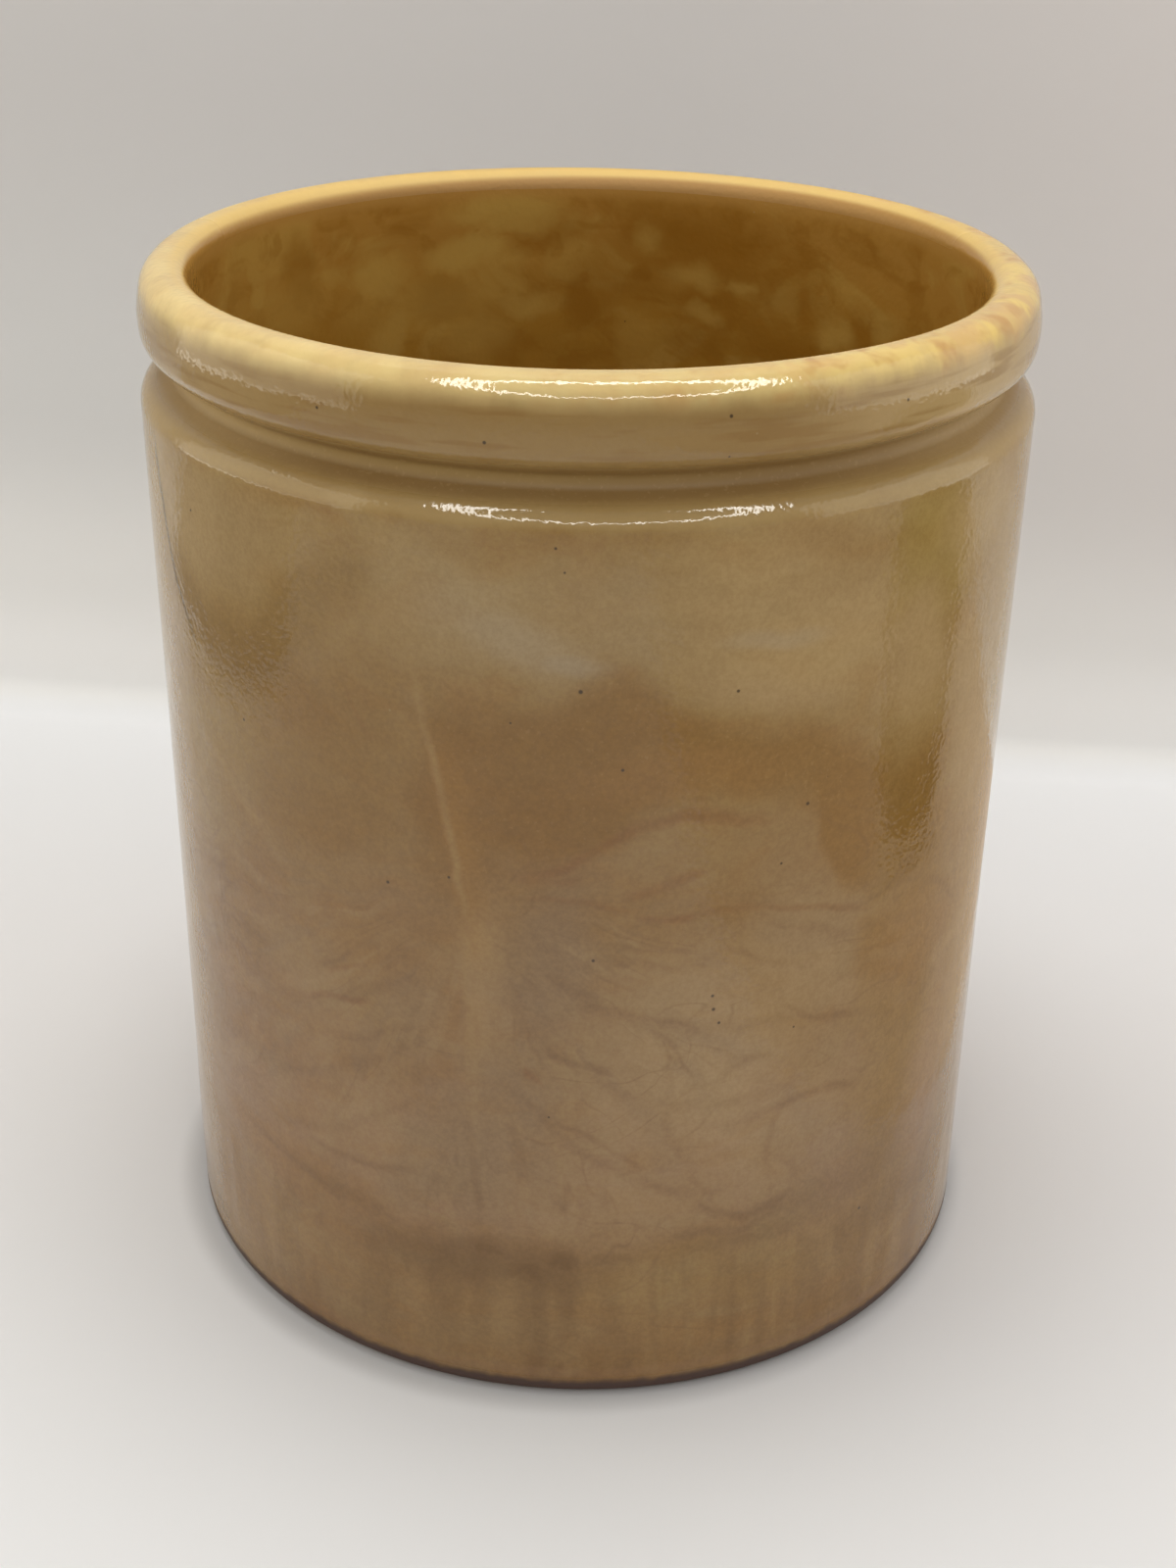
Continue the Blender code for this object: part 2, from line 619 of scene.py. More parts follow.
@dataclass(frozen=True)
class OuterGlaze(HoneyGlaze):
    """Honey glaze outside: yellow where it runs thin on the rim, brown and veined on the wall."""

    dull_back: float = 0.60  # how much rougher the far side of the lip is
    dull_groove: float = 0.50  # how much rougher the pooled glaze in the groove is
    dull_foot: float = 0.50  # how much rougher the glaze's lower edge is

    # Colours over the height of the outer wall: (height in mm, colour)
    wall_tones: Tones = (
        (0.0, (0.240, 0.130, 0.044)), (14.0, (0.285, 0.162, 0.056)), (26.0, (0.320, 0.190, 0.090)),
        (58.0, (0.284, 0.165, 0.064)), (88.0, (0.318, 0.200, 0.070)), (106.0, (0.345, 0.222, 0.078)))
    # Colours round the rim: (bearing, colour)
    rim_tones: Tones = (
        (-180.0, (0.66, 0.43, 0.120)), (-50.0, (0.79, 0.60, 0.255)), (0.0, (0.70, 0.53, 0.225)),
        (60.0, (0.78, 0.56, 0.165)), (180.0, (0.66, 0.43, 0.120)))
    left_and_low_darkening: Rgb = (0.86, 0.82, 0.80)  # what the colour is multiplied by where it is darkened
    finger_tone: Rgb = (0.330, 0.200, 0.074)
    vein_tone: Rgb = (0.215, 0.090, 0.024)
    hair_tone: Rgb = (0.180, 0.092, 0.034)
    scar_tone: Rgb = (0.430, 0.280, 0.115)
    gold_tone: Rgb = (0.375, 0.200, 0.050)
    rim_shade: Rgb = (0.60, 0.42, 0.175)
    rim_blush: Rgb = (0.66, 0.42, 0.160)
    rim_stain: Rgb = (0.56, 0.320, 0.105)
    bead_tone: Rgb = (0.290, 0.175, 0.056)
    # painted side light on the bead and in the groove
    painted_side_light: Rgb = (0.50, 0.350, 0.157)
    lip_tone: Rgb = (0.74, 0.510, 0.165)
    edge_tone: Rgb = (0.43, 0.295, 0.120)
    groove_tone: Rgb = (0.262, 0.150, 0.040)
    bubble_tone: Rgb = (0.47, 0.31, 0.13)
    # painted reflection of the pale paper on the jar's flanks
    painted_flank_reflection: Rgb = (0.46, 0.292, 0.077)
    foot_line_tone: Rgb = (0.34, 0.190, 0.100)
    # dark toasted clay at the foot, partly painted contact shade
    foot_clay_and_shade: Rgb = (0.070, 0.036, 0.026)
    painted_paper_edge_tone: Rgb = (0.090, 0.056, 0.010)
    fan_root: Point = (-13.0, 66.0)  # bearing and height from which the leaf's veins spread

    # Areas of the wall, each with its own tone
    iron_band: Band = Band((0.228, 0.112, 0.020), 0.74, 2.6, (
        (-23, 79, 85), (-17, 71.5, 88), (-10, 69.5, 87.5), (-4, 70, 89.5), (2, 72, 91), (8, 75.5, 89.5),
        (14, 76.5, 86), (20, 76.5, 84.5), (27, 75, 83), (31, 68, 81), (37, 62, 79), (43, 63, 77)))
    bowl: Band = Band((0.232, 0.132, 0.034), 0.62, 2.8, (
        (-70, 92, 99), (-61, 87.5, 95), (-55, 84.5, 92.5), (-48, 82.5, 90.5), (-43, 83.5, 90.5),
        (-38, 87, 94), (-33, 91, 98), (-27, 94, 101), (-22, 96, 104)))
    iron: Patches = Patches(iron_band.tone, (
        (-30, 98, 3.6, 6, 0.22, 1.6), (-5, 104.6, 13, 1.7, 0.34, 1.4, -0.02), (-30, 84, 7, 7, 0.35, 1.6),
        (-14.5, 75, 5, 9, 0.75, 1.4), (30, 102.5, 9, 1.6, 0.35, 1.4, -0.12),
        (-30, 71, 10, 4, 0.3, 1.4, 0.1), (45, 70, 6, 7, 0.35, 1.2), (-49, 50.5, 5, 2.5, 0.35, 1.4),
        (46.5, 53, 5, 9, 0.6, 1.4)))
    umber_and_painted_reflection: Patches = Patches((0.262, 0.148, 0.038), (
        # the tall patch at bearing 45.5 is a painted reflection: the dark band where the glaze mirrors a
        # dark thing at the right
        (-36, 77, 14, 12, 0.55, 1.3), (-25, 50, 5, 9, 0.4, 1.4), (45.5, 47, 6.8, 31, 0.9, 1),
        (-44, 87, 6, 5, 0.45, 1.6), (-53, 81, 8, 12, 0.35, 1.4), (65, 34, 7, 26, 0.5, 1.4),
        (3, 62, 16, 5, 0.3, 1.6)))
    rosy: Patches = Patches((0.290, 0.150, 0.040), (
        (-13, 77, 4, 6.5, 0.25, 1.4), (12, 79.5, 10, 2.6, 0.55, 1.4), (34, 72, 4.5, 10, 0.25, 1.4, -0.3),
        (46.5, 53.5, 6.5, 5.5, 0.5, 1.4), (-43, 24, 13, 3, 0.5, 1.4, -0.08), (-24, 58, 9, 4, 0.35, 1.4)))
    cream: Patches = Patches((0.375, 0.248, 0.118), (
        (13, 46, 11, 13, 0.6, 1.4), (27, 56, 7, 7, 0.55, 1.4), (28, 34, 10, 8, 0.4, 1.6),
        (7, 27.5, 15, 5, 0.55, 1.4), (-27, 34, 7, 7, 0.35, 1.4), (-31, 50, 9, 7, 0.35, 1.6),
        (-11.5, 55, 2.8, 8, 0.55, 1.4), (23, 88, 7, 2.2, 0.45, 1.4, -0.2), (43.5, 88, 5, 6, 0.95, 1.2)))
    grey: Patches = Patches((0.325, 0.214, 0.090), (
        (8, 96.5, 26, 5.5, 0.65, 1.2), (-17, 97, 9, 6.5, 0.5, 1.2), (-49, 99, 12, 6, 0.85, 1.2)))
    pale: Patches = Patches((0.44, 0.300, 0.130), (
        (28, 92, 11, 5, 0.52, 1.6), (22, 102.5, 8, 2.6, 0.5, 1.6), (20, 98, 8, 3.5, 0.3, 1.6),
        (56, 101.5, 7, 6.5, 0.78, 1.4), (45, 83, 5, 7, 0.45, 1.4), (45, 89.5, 4, 5, 0.5, 1.4),
        (60, 84, 8, 20, 0.44, 0.9), (11, 13, 8, 6, 0.1, 1.6), (-56, 5, 12, 4, 0.3, 1.6),
        (-46, 10, 6, 8, 0.3, 1.6), (-57, 96, 6, 10, 0.4, 1.4)))
    ash: Patches = Patches((0.268, 0.172, 0.088), (
        (-3, 59, 4.5, 8.5, 0.65, 1.4, 0.8), (-8, 42.5, 4.5, 5, 0.5, 1.4), (-14, 33, 4.5, 9, 0.6, 1.4),
        (-21, 27, 5, 3.5, 0.45, 1.4, 0.3), (-22, 54, 3, 9, 0.4, 1.6), (36, 43, 6, 22, 0.3, 1.6),
        (-66, 38, 6, 22, 0.35, 1.4), (28, 68, 9, 14, 0.24, 1.6)))
    milky: Patches = Patches((0.370, 0.285, 0.175), (
        (-8, 94.4, 6, 2.6, 0.46, 1.6, -0.36), (-1.5, 92, 3.2, 1.3, 0.6, 1.6, -0.1),
        (22, 93.6, 4.5, 0.9, 0.42, 1.6, -0.06), (-14, 97.5, 4, 3, 0.24, 1.6)))
    olive: Patches = Patches((0.366, 0.252, 0.073), (
        (45, 98, 6.6, 9, 0.62, 1.1), (17, 17, 16, 5, 0.2, 1.4), (-57, 76, 9, 16, 0.36, 1.4)))
    smudges: Patches = Patches((0.170, 0.088, 0.026), (
        (-13.5, 18.4, 12.5, 3.2, 0.66, 1.4), (-11.5, 20, 2.4, 1, 0.8, 1.4), (-17.5, 17.4, 3, 1.7, 0.7, 1.6),
        (-7, 17.8, 3, 1.8, 0.8, 1.6), (-2, 19.6, 2.6, 1.1, 0.8, 1.4, 0.2), (3, 19.4, 3, 0.9, 0.4, 1.6),
        (-24, 19.4, 4, 1.4, 0.5, 1.6), (24, 20.6, 7, 1.4, 0.34, 1.4), (34, 23, 10, 2.8, 0.26, 1.6),
        (-32, 22.6, 8, 1.2, 0.34, 1.4, -0.15), (46, 16, 8, 3, 0.3, 1.4)))
    fingers: Patches = Patches(smudges.tone, (
        (-17, 12.5, 1.7, 6, 0.42, 1.6), (-12.5, 13.5, 1.3, 6.5, 0.36, 1.6), (-6, 12, 1.8, 6, 0.4, 1.6),
        (-1, 14, 1.3, 5, 0.34, 1.6), (4.5, 13, 1, 5.5, 0.2, 1.6), (-27, 11, 2.2, 6, 0.32, 1.6)))
    # a painted highlight on the shoulder's left, where a window shows in the glaze
    painted_shoulder_highlight: Patches = Patches(pale.tone, ((-27.5, 106.6, 2.4, 0.8, 0.6),))

    # Thin lines and specks
    dark_runs: tuple[Vein, ...] = veins(Run.UPRIGHT, *(
        (0.9, 0.2, (at, 3), (at + 0.6, 9), (at, 15), (at + 0.3, 21)) for at in (10.0, 14.4, 20.8)))
    rust_veins: tuple[Vein, ...] = veins(
        Run.ACROSS,
        (1.3, 0.5, (-12, 70), (-8, 69), (-3, 69.4), (1, 71), (5, 73.4), (9, 74.7), (14, 75), (20, 74.3),
         (28, 73)),
        (0.8, 0.3, (-9, 68.4), (-6, 68.6), (-2, 68.2), (1, 69)),
        (1, 0.6, (4, 66.4), (7, 66.6), (10, 67.6), (13, 68.1), (16, 68.4)),
        (0.8, 0.6, (6, 64), (9, 63.4), (12, 63.4), (15, 63.9)),
        (0.8, 0.35, (10, 63.5), (17, 63.8), (24, 63), (32, 61.4), (41, 58.8)),
        (0.6, 0.28, (-8, 65.8), (-3, 66.1), (3, 65.3), (8, 64.4)),
        (0.8, 0.55, (-38, 47.4), (-35, 48.6), (-32, 49.3), (-29, 49.5), (-26, 50.3)),
        (0.7, 0.32, (-34, 51.5), (-31, 53.2), (-27, 54.6)),
        (1.1, 0.5, (-6.5, 44.8), (-5.4, 44.2), (-4.4, 43.4)), (0.9, 0.25, (-29, 88), (-27, 84), (-25, 82)))
    hair_veins: tuple[Vein, ...] = veins(
        Run.ACROSS,
        (1.05, 0.4, (-3, 53.4), (3, 52.9), (9, 51.2), (14, 49.8), (19, 46.4)),
        (1.15, 0.5, (-5, 48.2), (-1, 46.4), (5, 45)),
        (1.15, 0.5, (18, 36), (24, 36.9), (30, 38), (35, 37.6), (42, 35.8)),
        (1.15, 0.5, (13, 30.5), (16, 26.4), (20, 24.3), (25, 23.9), (31, 25.4)),
        (1, 0.38, (-4, 38.2), (1, 36.8), (5, 33.9), (10, 30.6)),
        (1, 0.36, (13, 43), (16, 42.4), (20, 44), (26, 45)),
        (1, 0.32, (8, 50.6), (11, 48), (13.5, 45.2), (15, 42.4)),
        (1, 0.34, (24, 52.5), (28, 49.3), (33, 47.2), (39, 46)), (1, 0.3, (17, 60.2), (22, 57), (27, 55.2)),
        (1, 0.22, (-4, 58), (4, 58.6), (12, 57.6), (20, 57.8)),
        (1, 0.3, (-36, 44), (-30, 44.6), (-24, 46.8), (-18, 49)),
        (1, 0.32, (-36, 52), (-32, 53.6), (-28, 56.6), (-24, 58)),
        (1.05, 0.42, (-55, 25.4), (-46, 24.4), (-38, 23.4), (-31, 20.4)),
        (1, 0.36, (-40, 28.6), (-33, 28), (-24, 28.8), (-18, 30.6)),
        (1, 0.26, (-52, 53), (-46, 52), (-41, 53)),
        (1.15, 0.3, (10, 21), (15, 22.4), (22, 22), (28, 23.6), (34, 23)),
        (0.95, 0.24, (48, 60), (54, 57), (60, 52))) + veins(
        Run.UPRIGHT,
        (1, 0.34, (-3, 22), (-7.5, 27), (-7, 32), (-10, 39)), (1, 0.3, (-12.5, 24), (-13, 31), (-14, 39)),
        (1, 0.26, (18, 25), (14, 32), (11, 40), (12.5, 47)),
        (1, 0.26, (26, 25), (25, 32), (26.5, 38), (33, 46)), (1, 0.26, (-27, 38), (-24.5, 43), (-21, 47)))
    long_veins: tuple[Vein, ...] = veins(
        Run.ACROSS,
        (1.5, 0.26, (-10, 58), (-2, 56), (8, 51), (20, 49), (34, 49.5)),
        (1.5, 0.26, (-10, 52), (-2, 47), (8, 41.5), (20, 39.5), (36, 41)),
        (1.5, 0.28, (-11, 45), (-5, 39), (3, 33), (13, 28.5), (24, 28)),
        (1.5, 0.24, (-54, 47), (-42, 46.5), (-30, 50), (-18, 57)),
        (1.5, 0.24, (-54, 36), (-42, 36.5), (-30, 41), (-18, 49)),
        (1.5, 0.24, (-50, 28), (-38, 30), (-27, 35), (-17, 42)))
    # A dark line painted where the glaze mirrors the paper's left edge
    painted_paper_edge_line: Vein = Vein(
        0.8, 0.62, ((-54, 82), (-60, 88), (-63.5, 94), (-66, 102), (-66.5, 107)), Run.UPRIGHT)
    scar: Vein = Vein(
        0.85, 0.42, ((-13.4, 60), (-14, 64), (-15.4, 72), (-17.4, 80), (-20.4, 92)), Run.UPRIGHT)
    scar_stem: tuple[Vein, ...] = veins(
        Run.UPRIGHT,
        (1.5, 0.2, (-13, 36), (-13.2, 46), (-13.4, 54), (-13.8, 64)),
        (3, 0.16, (-13, 44), (-12.4, 50), (-11.4, 57), (-12.4, 66)))
    scar_glow: Vein = Vein(
        2.8, 0.34, ((-12, 54), (-12.4, 60), (-13.4, 68), (-15.4, 78), (-17.6, 86)), Run.UPRIGHT)
    pale_lines: tuple[Vein, ...] = veins(
        Run.ACROSS,
        (1.4, 0.22, (-59, 73), (-54, 72.4), (-50, 70.4), (-45, 67.4), (-41, 66)),
        (1.6, 0.22, (52, 46), (58, 48.4), (64, 47)))
    named_specks: tuple[Speck, ...] = tuple(Speck(*row) for row in (
        (-3.2, 104, 0.2), (-2.2, 101.6, 0.16), (-0.3, 89.3, 0.3), (17.7, 88.6, 0.24), (4.6, 80.8, 0.24),
        (-8.2, 85.6, 0.16), (27.6, 74.6, 0.28), (24.5, 68.2, 0.2), (-23.8, 65.4, 0.26), (-15.8, 67.4, 0.22),
        (1.6, 58.8, 0.24), (16.4, 53.5, 0.24), (16.6, 51.8, 0.28), (17.4, 50, 0.24), (27.8, 47.4, 0.18),
        (-3.6, 39, 0.18), (41.6, 18, 0.3), (-46, 78.6, 0.22), (-55, 99.6, 0.22), (-11, 113.8, 0.24),
        (15.5, 116.4, 0.24), (15.6, 112.4, 0.16), (-31, 115, 0.22), (38, 115.6, 0.22)))

    def tint(self, surface: Surface) -> Coat:
        """The wall's colour, then the foot's, the groove's and the rim's over it.

        Args:
            surface: the coordinates to draw it on.

        Returns:
            The colour of the whole outside.
        """
        coat = self._outer_wall(surface)
        self._foot(surface, coat)
        self._groove(surface, coat)
        self._rim(surface, coat)
        return coat

    def dullness(self, surface: Surface) -> Number:
        """The far lip is duller, and so are the bubbly glaze in the groove and the glaze's lower edge.

        Args:
            surface: the coordinates to draw it on.

        Returns:
            What is added to the roughness.
        """
        lip = surface.height.smooth(116.4, 118.2) * surface.radius.smooth(48.4, 47.2)
        far = surface.around.smooth(80.0, 150.0, self.dull_back) * lip
        foot = surface.height.smooth(3.0, 2.0, self.dull_foot) * surface.radius.smooth(46.0, 47.5)
        return far + foot + self._pool(surface) * self.dull_groove

    def _outer_wall(self, surface: Surface) -> Coat:
        """The wall's colour: its tones by height, then clouds, patches, streaks, veins and the scar.

        Args:
            surface: the coordinates to draw it on.

        Returns:
            The colour, for the foot, the groove and the rim to be laid over.
        """
        spot = surface.warped(12.0, 3.5, 1.5)
        near_spot = surface.warped(6.0, 0.9, 1.0)
        _, level, _ = spot.parts()
        coat = Coat(surface.graph, level.tones(self.wall_tones))
        self._clouds(surface, coat)
        for patches in (self.umber_and_painted_reflection, self.olive, self.grey, self.cream, self.ash, self.pale):
            coat.lay(surface.patches(patches, spot), patches.tone)
        iron = surface.patches(self.iron, spot).at_least(surface.band(self.iron_band, spot))
        coat.lay(iron, self.iron_band.tone)
        coat.lay(surface.band(self.bowl, spot), self.bowl.tone)
        coat.lay(surface.patches(self.rosy, spot), self.rosy.tone)
        coat.lay(surface.patches(self.milky, near_spot), self.milky.tone)
        # Painted reflection: paler, warmer flanks where the glaze mirrors the paper at the jar's sides
        reflected_flank = surface.around.smooth(54.0, 72.0) * surface.height.smooth(-20.0, 50.0, 0.5)
        coat.lay(reflected_flank * surface.around.smooth(150.0, 85.0), self.painted_flank_reflection)
        self._fan(surface, coat)
        self._streaks(surface, coat)
        coat.lay(surface.patches(self.smudges, surface.warped(3.0, 1.6, 2.0)), self.smudges.tone)
        self._drawn_veins(surface, near_spot, coat)
        # Pale crumbs, clearest in the brown part
        crumbs = surface.place.noise(0.45, 1.0).smooth(0.62, 0.76)
        coat.lay(crumbs * (iron * 0.12 + 0.06), self.bubble_tone)
        # Darker on the front's left half and towards the foot
        left = surface.bearing.smooth(24.0, -4.0) * surface.height.smooth(98.0, 84.0)
        left = left * surface.bearing.smooth(-165.0, -90.0)
        low = surface.height.smooth(40.0, 24.0) * surface.height.smooth(4.0, 22.0)
        coat.lay(left.at_least(low) * 0.70, self.left_and_low_darkening, "MULTIPLY")
        # Fine mottling
        flecks = surface.place.noise(1.7, 2.0, 0.6).smooth(0.35, 0.65)
        grain = surface.place.noise(0.55, 2.0, 0.7).smooth(0.3, 0.7)
        grain = surface.graph.mix(flecks * 0.3 + grain * 0.7, (0.0, 0.0, 0.0), (1.0, 1.0, 1.0))
        coat.lay(0.12, grain, "SOFT_LIGHT")
        return coat

    def _clouds(self, surface: Surface, coat: Coat) -> None:
        """Clouds of thicker and thinner glaze, all the way round and stronger behind.

        Args:
            surface: the coordinates to draw it on.
            coat: the colour to lay it over.
        """
        clouds = surface.place.scaled(1.0, 1.0, 1.7).noise(26.0, 3.0, 0.5, 0.6)
        behind = surface.around.smooth(66.0, 100.0)
        coat.lay(clouds.smooth(0.50, 0.72) * (behind * 0.5 + 0.45), self.iron_band.tone)
        coat.lay(clouds.smooth(0.50, 0.34) * (behind * 0.4 + 0.40), self.grey.tone)
        coat.lay(clouds.smooth(0.42, 0.32) * behind * 0.45, self.cream.tone)
        blotches = surface.place.scaled(1.0, 1.0, 2.2).noise(9.0, 2.5, 0.5, 0.6)
        coat.lay(blotches.smooth(0.48, 0.64) * 0.34, self.rosy.tone)
        coat.lay(blotches.smooth(0.46, 0.32) * 0.32, self.grey.tone)

    def _drawn_veins(self, surface: Surface, spot: Value, coat: Coat) -> None:
        """Veins that come and go along their length, a painted reflection of the paper's edge at the left,
        and the scar with its glow.

        Args:
            surface: the coordinates to draw it on.
            spot: the place on a flat map that wanders a little.
            coat: the colour to lay it over.
        """
        broken = surface.place.noise(5.0, 2.0).smooth(0.30, 0.62)
        coat.lay(surface.veins(self.rust_veins, spot) * (broken * 0.5 + 0.5), self.vein_tone)
        hair = surface.veins((*self.hair_veins, *self.long_veins), spot)
        hair = hair.at_least(self._hairlines(surface))
        coat.lay(hair * (broken * 0.6 + 0.4), self.hair_tone)
        # Painted reflection of the paper's left edge
        coat.lay(surface.veins((self.painted_paper_edge_line,), spot), self.painted_paper_edge_tone)
        steady = broken * 0.4 + 0.6
        coat.lay(surface.veins((self.scar_glow,), spot) * steady, self.gold_tone)
        pale = surface.veins((self.scar, *self.scar_stem, *self.pale_lines), spot)
        coat.lay(pale * steady, self.scar_tone)

    @staticmethod
    def _hairlines(surface: Surface) -> Value:
        """Thin smoke-like lines all the way round, where a slow noise passes its middle.

        Args:
            surface: the coordinates to draw it on.

        Returns:
            How strongly they show.
        """
        swirl = surface.place.scaled(1.0, 1.0, 1.7).noise(17.0, 1.5, 0.5, 1.0)
        line = abs(swirl - 0.5).smooth(0.022, 0.0)
        where = surface.place.noise(15.0, 1.0).smooth(0.46, 0.62)
        return line * where * surface.height.smooth(82.0, 66.0) * 0.28

    def _streaks(self, surface: Surface, coat: Coat) -> None:
        """Runs of glaze that end above the foot, as upright pale and dark streaks.

        Args:
            surface: the coordinates to draw it on.
            coat: the colour to lay it over.
        """
        runs = surface.place.scaled(1.0, 1.0, 0.16).noise(3.4, 2.0, 0.55)
        tops = surface.place.scaled(1.0, 1.0, 0.05).noise(3.0, 2.0)
        above = (surface.height - tops * 14.0).smooth(16.0, 9.0)
        below = surface.height.smooth(1.5, 5.0)
        coat.lay(runs.smooth(0.50, 0.66) * above * 0.24, self.smudges.tone)
        coat.lay(runs.smooth(0.50, 0.34) * above * below * 0.42, self.finger_tone)
        spot = surface.warped(4.0, 0.8, 2.0)
        coat.lay(surface.patches(self.fingers, spot), self.fingers.tone)
        coat.lay(surface.veins(self.dark_runs, spot), self.fingers.tone)

    def _groove(self, surface: Surface, coat: Coat) -> None:
        """Glaze that pooled brown in the groove, with fine bubbles, and ran thin over the shoulder, with a
        painted highlight on the shoulder's left.

        Args:
            surface: the coordinates to draw it on.
            coat: the colour to lay it over.
        """
        wandering = surface.height + (surface.place.noise(5.0, 2.0) - 0.5) * 1.2
        thin = wandering.smooth(105.2, 106.6) * surface.radius.smooth(47.2, 48.0)
        coat.lay(thin * surface.height.smooth(109.5, 108.6) * 0.68, self.edge_tone)
        # Painted highlight on the left of the shoulder
        coat.lay(surface.patches(self.painted_shoulder_highlight, surface.flat), self.painted_shoulder_highlight.tone)
        depth = self._pool(surface)
        coat.lay(depth * 0.85, self.groove_tone)
        # Painted light: the groove is lighter towards the sides
        coat.lay(depth * surface.around.smooth(25.0, 62.0, 0.7), self.painted_side_light)
        bubbles = surface.place.noise(0.5, 1.0).smooth(0.60, 0.74)
        coat.lay(depth * bubbles * 0.30, self.bubble_tone)

    @staticmethod
    def _pool(surface: Surface) -> Value:
        """Where glaze pooled in the groove."""
        depth = surface.radius.smooth(49.0, 46.8) * surface.height.smooth(105.0, 107.4)
        return depth * surface.height.smooth(113.4, 111.4)

    def _foot(self, surface: Surface, coat: Coat) -> None:
        """The lower edge of the glaze: a thin pinkish line, and dark toasted clay below it, darkened further
        as painted contact shade.

        Args:
            surface: the coordinates to draw it on.
            coat: the colour to lay it over.
        """
        height = surface.height + (surface.place.noise(2.0, 2.0) - 0.5) * 0.9
        coat.lay(abs(height - 3.4).smooth(1.1, 0.1) * 0.18, self.foot_line_tone)
        # Dark toasted clay at the glaze's lower edge, made darker as painted contact shade under the foot
        coat.lay(height.smooth(2.7, 1.7) * surface.radius.smooth(46.0, 47.5), self.foot_clay_and_shade)

    def _fan(self, surface: Surface, coat: Coat) -> None:
        """Soft smears and fine veins that spread downwards from the foot of the scar, as in a leaf.

        Args:
            surface: the coordinates to draw it on.
            coat: the colour to lay it over.
        """
        bearing, top = self.fan_root
        vector = surface.graph.vector
        east, up, _ = surface.warped(7.0, 1.6, 2.0).parts()
        across = east - bearing * surface.MM_A_DEGREE
        down = top - up
        angle = across.arctan2(down)
        reach = (across * across + down * down) ** 0.5
        where = reach.smooth(5.0, 14.0) * reach.smooth(66.0, 40.0)
        where = where * surface.height.smooth(17.0, 25.0) * surface.height.smooth(70.0, 60.0)
        smear = vector(angle * 5.0, reach * 0.045, 0.0).noise(1.0, 3.0, 0.6, 0.4)
        coat.lay(smear.smooth(0.52, 0.66) * where * 0.34, self.cream.tone)
        coat.lay(smear.smooth(0.48, 0.36) * where * 0.30, self.ash.tone)
        swirl = vector(angle * 8.0, reach * 0.055, 3.0).noise(1.0, 1.5, 0.5, 0.5)
        vein = abs(swirl - 0.5).smooth(0.045, 0.0)
        broken = surface.place.noise(9.0, 2.0).smooth(0.40, 0.60)
        coat.lay(vein * where * broken * 0.22, self.hair_tone)

    def _rim(self, surface: Surface, coat: Coat) -> None:
        """Thin yellow glaze on the rim, with a ragged lower edge, a blush, rusty stains and a golden lip.

        Args:
            surface: the coordinates to draw it on.
            coat: the colour to lay it over.
        """
        place, bearing, height = surface.place, surface.bearing, surface.height
        ragged = place.scaled(1.0, 1.0, 0.4).noise(4.0, 3.0, 0.5)
        back = surface.around.smooth(175.0, 110.0)
        edge = height + (ragged - 0.5) * (bearing.smooth(8.0, 44.0) * back * 2.2 + 1.0)
        stops = [(at / 360.0 + 0.5, tone) for at, tone in self.rim_tones]
        ramp = surface.graph.node("ShaderNodeValToRGB", {"stops": stops}, {"Fac": bearing / 360.0 + 0.5})
        yellow = Coat(surface.graph, ramp)
        yellow.lay(place.noise(7.0, 3.0, 0.6).smooth(0.42, 0.70) * 0.7, self.rim_shade)
        # More blush and stain on the right side than on the left
        right = bearing.smooth(-10.0, 60.0) * back * 0.7 + 0.2
        yellow.lay(place.noise(5.0, 2.0, 0.5, 0.4).smooth(0.46, 0.60) * right * 0.9, self.rim_blush)
        spots = place.scaled(1.0, 1.0, 0.7).noise(3.6, 2.0, 0.5, 0.3).smooth(0.50, 0.72)
        drips = ragged.smooth(0.52, 0.66) * abs(edge - 117.8).smooth(1.0, 0.2)
        stained = bearing.smooth(-14.0, 34.0) * back * 0.8 + 0.15
        yellow.lay(spots.at_least(drips * 0.8) * stained, self.rim_stain)
        # Painted light: the bead's side is lighter and yellower away from the front, where the side windows
        # light it
        away = bearing.smooth(14.0, 56.0) * (back * 0.45 + 0.55)
        away = away.at_least(bearing.smooth(-24.0, -66.0, 0.55))
        bead = edge.smooth(110.4, 113.0)
        coat.lay(bead * 0.75, self.bead_tone)
        coat.lay(away * bead, self.painted_side_light)
        turning = place.scaled(0.10, 0.10, 1.0).noise(1.2, 2.0)
        coat.lay(turning.smooth(0.50, 0.66) * bead * 0.40, self.iron_band.tone)
        coat.lay(edge.smooth(116.4, 119.2), yellow.colour)
        inner = height.smooth(100.0, 110.0)
        coat.lay(surface.radius.smooth(46.4, 45.2) * inner * 0.8, self.lip_tone)
        coat.lay(surface.radius.smooth(44.6, 44.0) * inner, self.throat_tone)


